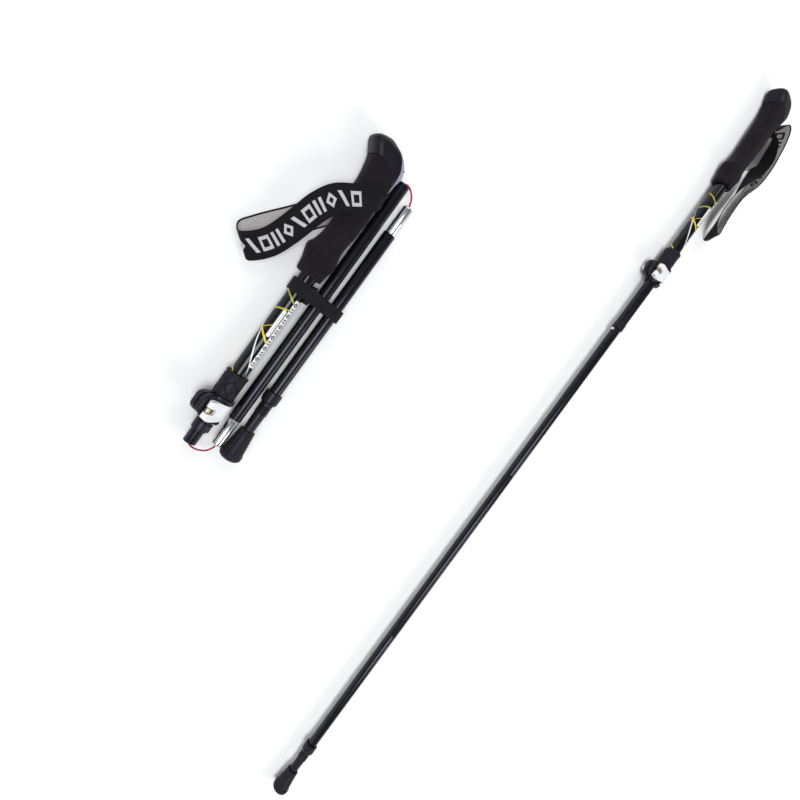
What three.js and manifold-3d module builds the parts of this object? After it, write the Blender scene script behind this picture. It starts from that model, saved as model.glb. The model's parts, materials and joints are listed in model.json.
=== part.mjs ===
// A pair of trekking poles lying on the ground: one folded up, one drawn out to walking length.
// Millimetres, +Z up. Both pole axes run along X with the grips towards +X.
// Each pole is built in its own frame: x along the pole with x = 0 at the foam's lower end,
// +y towards the beak of the grip, +z away from the ground.
import * as THREE from "three";
import { mergeVertices } from "three/addons/utils/BufferGeometryUtils.js";
import Module from "manifold-3d";

const wasm = await Module();
wasm.setup();

// ---- driving dimensions ----
const SIDES = 20; // facets round every tube
const SMALL_SIDES = 12; // facets round small turned pieces
const GAP = 0.3; // between pieces that touch on the real pole
const AXIS_HEIGHT = 15; // pole axis above the ground
const POLE_SPACING = 425; // between the two pole axes
const EXTENDED_AHEAD = 489; // how far the walking pole's grip lies ahead of the folded pole's

const UPPER = { outer: 9, inner: 8.3, low: -171.4, high: 136 };
const SLEEVE = { outer: 8, inner: 7.3, low: -188.1, high: 100 };
const LOWER = { outer: 7, inner: 6.3 }; // tension tube and both folding sections
const TENSION = { low: -207.1, high: 92 };
const SLEEVE_DRAWN = 71.3; // how far the walking pole's sleeve tube is drawn out
const TENSION_DRAWN = 254.6; // how far its tension tube is drawn out of the sleeve tube
const BUTTON_FROM_MOUTH = 267;
const BUTTON = { radius: 2.4, length: 5.6, pressed: 6.9, proud: 9.7 };

const FERRULE = { radius: 6, round: 3, bore: 1.3, held: 26 };
const SECTION_B = { length: 299.8, ferrule: 33.8 };
const SECTION_C = { length: 209.1, ferrule: 35 };
const FOLD_B_Y = -25; // where the folded sections lie beside the handle
const FOLD_C_Y = -44.2;
const FOLD_B_X = -164.6;
const FOLD_C_X = 88.1;
const CORD_RADIUS = 0.95;
const CORD_STEPS = 12; // along each stretch of cord outside the tubes
const KNOT_INSIDE = 13; // from section C's tip end to the knot in its cord

const CLAMP_TURN = { folded: 30, extended: 0 }; // degrees about the pole, ears from +y towards +z
const RING = { low: -178, high: -148.5, outer: 11.6 };
const EAR = { top: 25, half: 7.5, slit: 1.1 };
const BOLT = { x: -164.5, y: 17.3, radius: 2, pinZ: 11.2 };
const LEVER = { head: 3.3, outer: 15, inner: 12.4 };
const PIN_RADIUS = 1.4;

const STRAP = { half: 14, thick: 1, slotHalf: 8.2 };
const STRAP_STEPS = { folded: 46, extended: 54, tail: 12 };
const BAND = { low: -21.7, high: -7.7, thick: 2.2 };

// ---- helpers ----
const degrees = THREE.MathUtils.degToRad;

function finish(color, roughness, metalness = 0) {
  return new THREE.MeshStandardMaterial({ color, roughness, metalness });
}

// Merges a geometry's vertices, drops faces that have closed up, and turns its faces outwards.
function closed(geometry) {
  const bare = geometry.clone();
  bare.deleteAttribute("normal");
  bare.deleteAttribute("uv");
  const merged = mergeVertices(bare, 1e-4);
  const place = merged.getAttribute("position");
  const index = merged.getIndex().array;
  const faces = [];
  let volume = 0;
  const [a, b, c] = [new THREE.Vector3(), new THREE.Vector3(), new THREE.Vector3()];
  for (let i = 0; i < index.length; i += 3) {
    const [p, q, r] = [index[i], index[i + 1], index[i + 2]];
    if (p === q || q === r || r === p) continue;
    faces.push(p, q, r);
    a.fromBufferAttribute(place, p);
    b.fromBufferAttribute(place, q);
    c.fromBufferAttribute(place, r);
    volume += a.dot(b.cross(c));
  }
  if (volume < 0) faces.reverse();
  merged.setIndex(faces);
  return merged;
}

function toSolid(geometry) {
  const whole = closed(geometry);
  const vertProperties = new Float32Array(whole.getAttribute("position").array);
  const triVerts = new Uint32Array(whole.getIndex().array);
  return new wasm.Manifold(new wasm.Mesh({ numProp: 3, vertProperties, triVerts }));
}

function toGeometry(solid) {
  const mesh = solid.getMesh();
  const geometry = new THREE.BufferGeometry();
  const place = new THREE.BufferAttribute(new Float32Array(mesh.vertProperties), 3);
  geometry.setAttribute("position", place);
  geometry.setIndex(Array.from(mesh.triVerts));
  return geometry;
}

function combine(first, others, how) {
  return toGeometry(others.reduce((solid, other) => solid[how](toSolid(other)), toSolid(first)));
}
const cut = (body, ...tools) => combine(body, tools, "subtract");
const join = (body, ...more) => combine(body, more, "add");
const common = (body, ...others) => combine(body, others, "intersect");

// A body of revolution about X from [x, radius] points, from axis to axis or closed on itself.
function turned(points, sides = SIDES) {
  const profile = points.map(([x, radius]) => new THREE.Vector2(radius, x));
  return new THREE.LatheGeometry(profile, sides).rotateZ(-Math.PI / 2);
}

function tube(low, high, inner, outer, sides = SIDES) {
  return turned([[low, inner], [low, outer], [high, outer], [high, inner], [low, inner]], sides);
}

function rod(low, high, radius, sides = SIDES) {
  return turned([[low, 0], [low, radius], [high, radius], [high, 0]], sides);
}

function block(low, high) {
  const size = high.map((value, axis) => value - low[axis]);
  const middle = high.map((value, axis) => (value + low[axis]) / 2);
  return new THREE.BoxGeometry(...size).translate(...middle);
}

// A flat outline of [x, y] points, extruded along z between two heights.
function prism(points, low, high) {
  const shape = new THREE.Shape(points.map(([x, y]) => new THREE.Vector2(x, y)));
  const options = { depth: high - low, bevelEnabled: false };
  return new THREE.ExtrudeGeometry(shape, options).translate(0, 0, low);
}

// A smooth function through [x, value] points, with level ends.
function through(points) {
  const slope = points.map((point, i) => {
    const before = points[Math.max(i - 1, 0)];
    const after = points[Math.min(i + 1, points.length - 1)];
    return (after[1] - before[1]) / (after[0] - before[0]);
  });
  return (x) => {
    let i = points.findIndex((point) => point[0] > x) - 1;
    if (i < 0) i = x <= points[0][0] ? 0 : points.length - 2;
    const [x0, y0] = points[i];
    const [x1, y1] = points[i + 1];
    const step = x1 - x0;
    const t = Math.min(Math.max((x - x0) / step, 0), 1);
    const [t2, t3] = [t * t, t * t * t];
    return (2 * t3 - 3 * t2 + 1) * y0 + (t3 - 2 * t2 + t) * step * slope[i]
      + (3 * t2 - 2 * t3) * y1 + (t3 - t2) * step * slope[i + 1];
  };
}

// A closed skin over rings of points that all have the same count, with flat ends.
function skin(rings) {
  const count = rings[0].length;
  const place = rings.flat(2);
  const faces = [];
  for (let i = 0; i + 1 < rings.length; i++) {
    for (let k = 0; k < count; k++) {
      const next = (k + 1) % count;
      const [a, b] = [i * count + k, i * count + next];
      const [c, d] = [a + count, b + count];
      faces.push(a, b, d, a, d, c);
    }
  }
  const last = (rings.length - 1) * count;
  for (let k = 1; k + 1 < count; k++) {
    faces.push(0, k + 1, k, last, last + k, last + k + 1);
  }
  const geometry = new THREE.BufferGeometry();
  geometry.setAttribute("position", new THREE.Float32BufferAttribute(place, 3));
  geometry.setIndex(faces);
  return geometry;
}

// A strip of webbing. Each station is its middle point and the vector from there to one edge.
function ribbon(stations, steps, thick) {
  const middle = new THREE.CatmullRomCurve3(stations.map(([p]) => new THREE.Vector3(...p)));
  const edge = new THREE.CatmullRomCurve3(
    stations.map(([p, half]) => new THREE.Vector3(...p).add(new THREE.Vector3(...half))),
  );
  const rings = [];
  for (let i = 0; i <= steps; i++) {
    const at = middle.getPoint(i / steps);
    const half = edge.getPoint(i / steps).sub(at);
    const along = middle.getTangent(i / steps);
    const out = along.clone().cross(half).normalize().multiplyScalar(thick / 2);
    const corners = [[1, 1], [1, -1], [-1, -1], [-1, 1]];
    rings.push(corners.map(([s, t]) =>
      at.clone().addScaledVector(half, s).addScaledVector(out, t).toArray()));
  }
  return skin(rings);
}

// A cord along hand-picked points.
function cordAlong(points, steps) {
  const route = new THREE.CatmullRomCurve3(points.map((p) => new THREE.Vector3(...p)));
  const section = new THREE.Shape();
  section.absarc(0, 0, CORD_RADIUS, 0, 2 * Math.PI);
  const options = { steps, extrudePath: route, curveSegments: 4, bevelEnabled: false };
  return new THREE.ExtrudeGeometry(section, options);
}

function straightCord(low, high) {
  return rod(low, high, CORD_RADIUS, 8);
}

// ---- grip ----
const gripTop = through([
  [0, 14.7], [12, 16.4], [26.6, 20.5], [34, 16.9], [46, 14.4], [58, 14], [80, 16.2], [97, 17.5],
  [107, 17.5], [118, 18.7], [130.4, 21.4], [138, 26], [142.4, 29.3], [146.5, 30.4], [150, 28],
  [152.6, 24.6], [155.5, 17.1],
]);
const gripBottom = through([
  [0, -13.4], [12, -14.8], [19.3, -17.2], [34, -14.2], [46, -13.9], [58, -15.2], [70, -15.7],
  [82, -16.2], [94, -15.4], [110, -14.4], [118, -14.4], [126, -16.2], [135.4, -17.4], [144.1, -13],
  [149, -8], [152.6, -2.4], [155.5, 8.7],
]);
const gripHalfWidth = through([
  [0, 13.2], [20, 14.6], [34, 13], [58, 12.6], [82, 12.9], [112, 12.9], [122, 14.2], [130, 15.4],
  [146, 15.4], [151, 13], [155.5, 8],
]);
const HEAD_HALF = 15; // half the distance between the head's flat sides
// How square each section is: 1 is an ellipse, and less is squarer.
const gripSquare = through([[0, 0.85], [100, 0.85], [124, 0.66], [148, 0.66], [155.5, 0.8]]);

function gripSkin(low, high, steps) {
  const rings = [];
  for (let i = 0; i <= steps; i++) {
    const x = THREE.MathUtils.lerp(low, high, i / steps);
    const middle = (gripTop(x) + gripBottom(x)) / 2;
    const tall = (gripTop(x) - gripBottom(x)) / 2;
    const wide = gripHalfWidth(x);
    const square = gripSquare(x);
    const ring = [];
    for (let k = 0; k < SIDES; k++) {
      const angle = (2 * Math.PI * k) / SIDES;
      const [c, s] = [Math.cos(angle), Math.sin(angle)];
      ring.push([
        x,
        middle + tall * Math.sign(c) * Math.abs(c) ** square,
        wide * Math.sign(s) * Math.abs(s) ** square,
      ]);
    }
    rings.push(ring);
  }
  return skin(rings);
}

// Side-view outlines of the joints between foam, head and insert.
const FAR = 40;
const foamEdge = [
  [116.5, -FAR], [117.5, -15], [120.5, -10.6], [126, -4], [131.6, 2.4], [134, 8], [134.2, 12.3],
  [133.6, 16], [132.3, 20.3], [131, FAR],
];
const insertEdge = [[122.4, -12.3], [137.8, -9.7], [144.1, -6.3], [150.2, 0], [153, 7.6]];

const shifted = (points, dx, dy) => points.map(([x, y]) => [x + dx, y + dy]);
const TUBE_BORE = UPPER.outer + GAP;
const strapPocket = () => block([112, -13.8, -8.8], [143.5, -10.2, 8.8]);
const pinBore = () => rodAlongZ(140.3, -11.8, -20, 20, 1.8);

function rodAlongZ(x, y, low, high, radius, sides = SMALL_SIDES) {
  return rod(low, high, radius, sides).rotateY(-Math.PI / 2).translate(x, y, 0);
}

function gripFoam() {
  const side = prism([[-5, -FAR], ...shifted(foamEdge, -GAP, 0), [-5, FAR]], -FAR, FAR);
  const ramp = prism([[122, -10], [103, -16], [103, -20], [122, -20]], -12, 12);
  const flats = block([-10, -FAR, 0.2 - HEAD_HALF], [170, FAR, HEAD_HALF - 0.2]);
  return cut(common(gripSkin(0, 140, 18), side, flats), rod(-10, 160, TUBE_BORE), ramp);
}

function headBlank() {
  const flats = block([100, -FAR, -HEAD_HALF], [170, FAR, HEAD_HALF]);
  const side = prism([...foamEdge, [170, FAR], [170, -FAR]], -FAR, FAR);
  return common(gripSkin(114, 155.5, 12), side, flats);
}

const insertSide = (inset) =>
  prism([
    [116.9, -12.9 - inset], ...shifted(insertEdge, inset * 0.5, -inset),
    [160, 8 - inset], [160, -FAR], [116.9, -FAR],
  ], -FAR, FAR);

function gripHead() {
  return cut(headBlank(), insertSide(0), rod(-10, 137.4, TUBE_BORE), strapPocket(), pinBore());
}

function headInsert() {
  return cut(common(headBlank(), insertSide(GAP)), strapPocket(), pinBore());
}

// ---- clamp: built with its ears along +y and its lever on the +z side ----
function clampBody() {
  const ring = turned([
    [RING.low, 8.35], [RING.low, 9.6], [-173.5, RING.outer], [RING.high, RING.outer],
    [RING.high, TUBE_BORE], [-171.7, TUBE_BORE], [-171.7, 8.35], [RING.low, 8.35],
  ]);
  const ears = prism([
    [-174, 9.9], [-173.8, 17], [-171.8, 22], [-169, 24.4], [-166, EAR.top], [-157, EAR.top],
    [-153.8, 24.2], [-151.4, 21.4], [-149.8, 16], [-149.2, 9.9],
  ], -EAR.half, EAR.half);
  const slit = block([-185, 0.5, -EAR.slit], [-140, FAR, EAR.slit]);
  const rim = common(
    tube(-151.6, RING.high, 10.5, 14.4),
    prism([[-160, 12], [-140, 12], [-140, -14.2], [-160, -14.2]], 0, FAR),
  );
  const fin = common(
    turned([[-177, 10], [-177, 13], [-175.2, 13.6], [-173.6, 10], [-177, 10]]),
    prism([[-180, -1], [-170, -1], [-170, -14.2], [-180, -14.2]], 0, FAR),
  );
  const boltBore = rodAlongZ(BOLT.x, BOLT.y, -20, 20, BOLT.radius + GAP);
  const bore = rod(-171.7, 0, TUBE_BORE);
  return cut(join(ring, cut(ears, bore), rim, fin), slit, boltBore, rod(-190, -160, 8.35));
}

function clampSleeve() {
  return turned([
    [-148.2, TUBE_BORE], [-148.2, 12], [-124, 12], [-123.4, 12.4], [-121.8, 12.4], [-121.2, 11.8],
    [-121.2, TUBE_BORE], [-148.2, TUBE_BORE],
  ]);
}

function clampBolt() {
  const shank = rodAlongZ(BOLT.x, BOLT.y, -12.4, 9.4, BOLT.radius);
  const eye = rod(BOLT.x - 2.6, BOLT.x + 2.6, 3.1, SMALL_SIDES).translate(0, BOLT.y, BOLT.pinZ);
  const eyeBore = rod(-200, -140, PIN_RADIUS + GAP, SMALL_SIDES).translate(0, BOLT.y, BOLT.pinZ);
  return cut(join(shank, eye), eyeBore);
}

function clampNut() {
  const profile = [
    [-EAR.half - GAP, BOLT.radius + GAP], [-EAR.half - GAP, 4.75], [-10.8, 4.75], [-12.6, 4.1],
    [-13.9, 2.7], [-14.5, 0], [-12.8, 0], [-12.8, BOLT.radius + GAP],
    [-EAR.half - GAP, BOLT.radius + GAP],
  ];
  return turned(profile, SMALL_SIDES).rotateY(-Math.PI / 2).translate(BOLT.x, BOLT.y, 0);
}

function leverPin() {
  return rod(-174.6, -157, PIN_RADIUS, SMALL_SIDES).translate(0, BOLT.y, BOLT.pinZ);
}

// Points on an arc about a centre, from one angle to another, in degrees.
function arc(centreY, centreZ, radius, from, to, steps) {
  const points = [];
  for (let i = 0; i <= steps; i++) {
    const angle = degrees(THREE.MathUtils.lerp(from, to, i / steps));
    points.push([centreY + radius * Math.sin(angle), centreZ + radius * Math.cos(angle)]);
  }
  return points;
}

function clampLever() {
  const profile = [
    ...arc(BOLT.y, BOLT.pinZ, LEVER.head, 215, 0, 12),
    ...arc(0, 0, LEVER.outer, 15, -66, 9),
    ...arc(0, 0, (LEVER.outer + LEVER.inner) / 2, -70, -71, 1),
    ...arc(0, 0, LEVER.inner, -66, 24, 9),
  ];
  // The profile is drawn as (y, z) and swept along x.
  const shape = new THREE.Shape(profile.map(([y, z]) => new THREE.Vector2(y, z)));
  const bar = new THREE.ExtrudeGeometry(shape, { depth: 34, bevelEnabled: false });
  bar.applyMatrix4(new THREE.Matrix4().set(0, 0, 1, -179, 1, 0, 0, 0, 0, 1, 0, 0, 0, 0, 0, 1));
  const outline = prism([
    [-173.2, 21], [-175.4, 16], [-175.6, 10], [-173, 2], [-170, -4], [-168.2, -10], [-167.6, -16],
    [-147.4, -16], [-148.4, -12.4], [-152.6, -8.6], [-153.4, 2], [-153.2, 10], [-153.6, 16],
    [-155.6, 21],
  ], -FAR, FAR);
  const fork = block([BOLT.x - 3.1, 11.2, 0], [BOLT.x + 3.1, FAR, FAR]);
  const pinBore = rod(-200, -140, PIN_RADIUS + GAP, SMALL_SIDES).translate(0, BOLT.y, BOLT.pinZ);
  const rimRoom = tube(-152, -146.4, 9, 14.7);
  return cut(common(bar, outline), fork, pinBore, rimRoom);
}

// ---- telescoping tubes ----
function sleeveCollar() {
  const ring = turned([
    [-191, LOWER.outer + GAP], [-191, 8.2], [-190.6, 8.6], [-180.4, 8.6], [-180.4, 8.2],
    [-188.4, 8.2], [-188.4, LOWER.outer + GAP], [-191, LOWER.outer + GAP],
  ]);
  const key = block([-190.4, -10.2, -2], [-180.6, -8.4, 2]);
  return join(ring, key);
}

function cordAnchor() {
  return turned([
    [SLEEVE.high - 7, 0], [SLEEVE.high - 7, 5], [SLEEVE.high - 5.5, SLEEVE.inner - 0.2],
    [SLEEVE.high, SLEEVE.inner - 0.2], [SLEEVE.high, 0],
  ]);
}

const buttonX = TENSION.low + BUTTON_FROM_MOUTH;

function tensionTube() {
  const hole = rod(0, 20, BUTTON.radius + GAP, SMALL_SIDES).rotateZ(Math.PI / 2).translate(buttonX, 0, 0);
  return cut(tube(TENSION.low, TENSION.high, LOWER.inner, LOWER.outer), hole);
}

function pushButton(top) {
  const profile = [[0, 0], [0, BUTTON.radius], [4.4, BUTTON.radius], [5.3, 1.6], [5.6, 0]];
  return turned(profile, SMALL_SIDES).rotateZ(Math.PI / 2).translate(buttonX, top - BUTTON.length, 0);
}

// A strip bent double: one leg lies on the tube wall, the other lifts the button.
function buttonSpring(top) {
  const lift = top - BUTTON.length - GAP;
  const leg = 22;
  const sheet = 0.4;
  return prism([
    [buttonX - 3, -4.2], [buttonX + leg, -4.2], [buttonX + leg + 1, -3.4],
    [buttonX + 2, lift], [buttonX - 3, lift], [buttonX - 3, lift - sheet],
    [buttonX + 1.6, lift - sheet], [buttonX + leg - 1, -3.8], [buttonX - 3, -3.8],
  ], 1.3, 4);
}

// ---- folding sections: x = 0 where the black tube starts, ferrule on the handle side ----
function ferrule(reach) {
  const tip = [];
  for (let i = 0; i <= 3; i++) {
    const angle = (Math.PI / 2) * (i / 3);
    tip.push([
      -reach + FERRULE.round * (1 - Math.sin(angle)),
      FERRULE.radius - FERRULE.round * (1 - Math.cos(angle)),
    ]);
  }
  const mouth = tip.reverse();
  return turned([
    [-reach, FERRULE.bore], ...mouth, [FERRULE.held, FERRULE.radius],
    [FERRULE.held, FERRULE.bore], [-reach, FERRULE.bore],
  ]);
}

// Measured from the far end of section C's tube.
const TIP = { collar: [-2, 11.5], capMouth: 47.3, shaftEnd: 62.1, capEnd: 85.2 };
const tipX = (x) => SECTION_C.length + x;

function basketCollar() {
  const [low, high] = TIP.collar.map(tipX);
  return turned([
    [low, 7.3], [low, 9], [low + 0.6, 9.5], [high - 0.6, 9.5], [high, 8.9], [high, 7.3], [low, 7.3],
  ]);
}

function tipShaft() {
  const start = SECTION_C.length + GAP;
  const profile = [[start - 12, 0], [start - 12, 6], [start, 6], [start, 6.9], [start + 14.8, 6.9]];
  const threads = { from: start + 15.2, pitch: 2.6, turns: 4 };
  for (let i = 0; i < threads.turns; i++) {
    const x = threads.from + i * threads.pitch;
    profile.push([x, 6.3], [x + 0.6, 7.25], [x + 1.6, 7.25]);
  }
  const end = tipX(TIP.shaftEnd);
  profile.push([threads.from + 11, 6.45], [end - 14, 6], [end - 13.4, 5.2], [end, 4.6]);
  profile.push([end, 2.8], [end - 6, 2.8], [end - 6, 0]);
  return turned(profile, SMALL_SIDES);
}

function carbideTip() {
  const end = tipX(TIP.shaftEnd);
  const crown = end + 6.5;
  return turned([
    [end - 5.7, 0], [end - 5.7, 2.5], [end + 3.5, 2.5], [crown, 1.9], [crown - 0.9, 0],
  ], SMALL_SIDES);
}

function tipCap() {
  const mouth = tipX(TIP.capMouth);
  const end = tipX(TIP.capEnd);
  return turned([
    [mouth, 6.5], [mouth, 8.6], [mouth + 18, 10.9],
    [end - 10.5, 11.5], [end - 9.6, 12.6], [end - 5, 12.4], [end - 2, 10.6], [end - 0.5, 7.4],
    [end, 0], [end - 8.5, 0], [end - 8.5, 5.6], [mouth + 4, 5.6], [mouth + 3, 6.5], [mouth, 6.5],
  ]);
}

// ---- soft pieces ----
const across = (x, y, z, half = STRAP.half) =>
  new THREE.Vector3(x, y, z).normalize().multiplyScalar(half).toArray();
const inSlot = [0, 0, STRAP.slotHalf];
const backInSlot = [0, 0, -STRAP.slotHalf];

// Out of the slot, over the front of the grip, round an open end and back behind the grip.
const foldedStrapRoute = [
  [[136, -11, 0], inSlot], [[122, -11.1, 0], inSlot], [[117, -12.4, 0.4], inSlot],
  [[112, -14.5, 2.6], across(0.1, 0.03, 1, 8.2)], [[108, -14.6, 9.2], across(0.3, 0.3, 0.9, 8.6)],
  [[103.6, -8.6, 14.2], across(0.62, 0.6, 0.36, 11)], [[97, -1.5, 15], across(0.74, 0.66, 0.08, 13)],
  [[86, 12, 14.8], across(0.72, 0.69, -0.03)],
  [[73.5, 26.5, 12.4], across(0.6, 0.79, -0.08)], [[57, 34.5, 9], across(0.36, 0.93, -0.06)],
  [[38, 39, 5.4], across(0.24, 0.97, -0.02)], [[20, 43.4, 2.2], across(0.3, 0.95, 0.02)],
  [[3, 49.6, -0.4], across(0.42, 0.9, 0.03)], [[-9.5, 59, -2.6], across(0.55, 0.83, 0.02)],
  [[-15.2, 66.5, -7.6], across(0.62, 0.78, 0)], [[-8, 69.6, -12.6], across(0.6, 0.8, 0)],
  [[6, 61.5, -14], across(0.59, 0.81, 0)], [[34, 41, -14], across(0.58, 0.81, 0)],
  [[62, 20.5, -14], across(0.58, 0.81, 0)], [[84, 4.5, -14], across(0.6, 0.8, 0)],
  [[94, -4, -13.9], across(0.62, 0.78, 0, 12)], [[101.4, -11, -12.4], across(0.6, 0.66, -0.12, 8)],
  [[106.5, -15, -8.6], across(0.3, 0.2, -0.9, 5.4)], [[112, -15.7, -3], [0.4, 0, -7]],
  [[117, -13.4, -0.3], [0, 0, -7.6]], [[122, -12.6, 0], backInSlot], [[136, -12.6, 0], backInSlot],
];

// A loop that stands on its edge beside the grip and leans over at its far end.
const extendedStrapRoute = [
  [[136, -11, 0], inSlot], [[122, -11.1, 0], inSlot], [[116.5, -12.6, 0], inSlot],
  [[112, -15.8, 0], across(0, 0, 1, 9)], [[109.6, -20, 0], across(0, 0, 1, 11)],
  [[107, -27, 0], across(0, 0, 1)], [[101, -37, 0], across(0, 0, 1)],
  [[90, -45.5, 0], across(0, 0, 1)], [[64, -46.5, 0], across(0, 0.12, 1)],
  [[40, -42, 0.6], across(0.05, 0.45, 0.85)], [[18, -37.5, 1.6], across(0.08, 0.75, 0.62)],
  [[-6, -34.5, 2.6], across(0.1, 0.84, 0.52)], [[-30, -36, 2.2], across(0.12, 0.82, 0.55)],
  [[-45, -42, 0.5], across(0.16, 0.7, 0.7)], [[-50.5, -52, -1.4], across(0.1, 0.45, 0.88)],
  [[-43, -61, -3], across(0.02, 0.6, 0.8)], [[-22, -64.5, -4.8], across(0, 0.74, 0.66)],
  [[2, -64, -5.6], across(0, 0.78, 0.62)], [[26, -62.5, -5], across(0, 0.74, 0.68)],
  [[50, -60.5, -1.6], across(0, 0.35, 0.93)], [[76, -56.5, -0.2], across(0, 0.08, 1)],
  [[102, -50.5, 0], across(0, 0, 1)], [[124, -43.5, 0], across(0, 0, 1)],
  [[135.6, -35, 0], across(0, 0, 1)], [[136, -26.4, 0], across(0, 0, 1)],
  [[128.4, -21.2, 0], across(0, 0, 1, 13)], [[120.4, -18.4, 0], across(0, 0, 1, 11)],
  [[116, -16.4, 0], across(0, 0, 1, 9)], [[116.2, -14.1, 0], inSlot],
  [[119.4, -12.8, 0], inSlot], [[124, -12.6, 0], inSlot], [[136, -12.6, 0], inSlot],
];

// The webbing's free end, which hangs inside the loop.
const strapTailRoute = [
  [[105.6, -18.4, -1], [0, 0, 10]], [[97, -23.4, -1.4], [0, 2, 11]], [[82, -29.6, -2], [0, 4.5, 10.6]],
  [[66, -35.6, -2.6], [0, 5.5, 10]],
];

function packingBand() {
  const outline = (grow) => {
    const [small, large] = [LOWER.outer + grow, UPPER.outer + grow];
    const lean = Math.asin((large - small) / -FOLD_C_Y);
    const points = [];
    for (let i = 0; i <= 12; i++) {
      const angle = -lean + ((Math.PI + 2 * lean) * i) / 12;
      points.push([large * Math.cos(angle), large * Math.sin(angle)]);
    }
    for (let i = 0; i <= 12; i++) {
      const angle = Math.PI + lean + ((Math.PI - 2 * lean) * i) / 12;
      points.push([small * Math.cos(angle), FOLD_C_Y + small * Math.sin(angle)]);
    }
    return points; // (z, y) pairs
  };
  const slab = (grow, low, high) => {
    const shape = new THREE.Shape(outline(grow).map(([z, y]) => new THREE.Vector2(z, y)));
    const made = new THREE.ExtrudeGeometry(shape, { depth: high - low, bevelEnabled: false });
    return made.rotateY(Math.PI / 2).translate(low, 0, 0);
  };
  const loop = cut(slab(0.5 + BAND.thick, BAND.low, BAND.high), slab(0.5, -60, 60));
  const keeper = block([-25, -14.4, -8.9], [-4.2, -12.2, 8.9]);
  return join(loop, keeper);
}

// ---- finishes ----
const black = () => finish(0x151518, 0.35, 0.4);
const foamBlack = () => finish(0x1c1a20, 0.95);
const plasticBlack = () => finish(0x17171b, 0.5);
const grey = () => finish(0x96949f, 0.5);
const white = () => finish(0xf2f2f2, 0.4);
const steel = () => finish(0xc8c8cc, 0.25, 1);
const bronze = () => finish(0xa08a6c, 0.35, 1);
const aluminium = () => finish(0xd8d8da, 0.2, 1);
const webbing = () => finish(0x18181a, 0.9);
const red = () => finish(0xbe2846, 0.7);

// ---- assembly ----
function place(parent, prefix, name, geometry, material, turn = 0) {
  const mesh = new THREE.Mesh(closed(geometry), material);
  mesh.name = `${prefix}_${name}`;
  mesh.rotation.x = turn;
  parent.add(mesh);
  return mesh;
}

function moved(parent, x, y = 0, turn = 0) {
  const group = new THREE.Group();
  group.position.set(x, y, 0);
  group.rotation.z = turn;
  parent.add(group);
  return group;
}

function addHandle(pole, prefix, strapRoute) {
  place(pole, prefix, "grip_foam", gripFoam(), foamBlack());
  place(pole, prefix, "grip_head", gripHead(), plasticBlack());
  place(pole, prefix, "head_insert", headInsert(), grey());
  place(pole, prefix, "strap_pin", rodAlongZ(140.3, -11.8, -14.2, 14.2, 1.5), plasticBlack());
  const strap = ribbon(strapRoute, STRAP_STEPS[prefix], STRAP.thick);
  place(pole, prefix, "wrist_strap", strap, webbing());
  const upper = tube(UPPER.low, UPPER.high, UPPER.inner, UPPER.outer);
  place(pole, prefix, "upper_tube", upper, black());
  const turn = degrees(CLAMP_TURN[prefix]);
  place(pole, prefix, "clamp_body", clampBody(), plasticBlack(), turn);
  place(pole, prefix, "clamp_sleeve", clampSleeve(), foamBlack(), turn);
  place(pole, prefix, "clamp_bolt", clampBolt(), bronze(), turn);
  place(pole, prefix, "clamp_nut", clampNut(), steel(), turn);
  place(pole, prefix, "clamp_lever", clampLever(), white(), turn);
  place(pole, prefix, "lever_pin", leverPin(), bronze(), turn);
}

function addTelescope(pole, prefix, sleeveX, tensionX, buttonTop) {
  const sleeve = moved(pole, sleeveX);
  const tubeA = tube(SLEEVE.low, SLEEVE.high, SLEEVE.inner, SLEEVE.outer);
  place(sleeve, prefix, "sleeve_tube", tubeA, black());
  place(sleeve, prefix, "sleeve_collar", sleeveCollar(), plasticBlack());
  place(sleeve, prefix, "cord_anchor", cordAnchor(), plasticBlack());
  const inner = moved(pole, tensionX);
  place(inner, prefix, "tension_tube", tensionTube(), black());
  place(inner, prefix, "push_button", pushButton(buttonTop), steel());
  place(inner, prefix, "button_spring", buttonSpring(buttonTop), steel());
}

function addSectionB(parent, prefix) {
  const body = tube(0, SECTION_B.length, LOWER.inner, LOWER.outer);
  place(parent, prefix, "section_b_tube", body, black());
  place(parent, prefix, "section_b_ferrule", ferrule(SECTION_B.ferrule), aluminium());
}

function addSectionC(parent, prefix) {
  const body = tube(0, SECTION_C.length, LOWER.inner, LOWER.outer);
  place(parent, prefix, "section_c_tube", body, black());
  place(parent, prefix, "section_c_ferrule", ferrule(SECTION_C.ferrule), aluminium());
  place(parent, prefix, "basket_collar", basketCollar(), plasticBlack());
  place(parent, prefix, "tip_shaft", tipShaft(), plasticBlack());
  place(parent, prefix, "carbide_tip", carbideTip(), steel());
  place(parent, prefix, "tip_cap", tipCap(), foamBlack());
}

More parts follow.
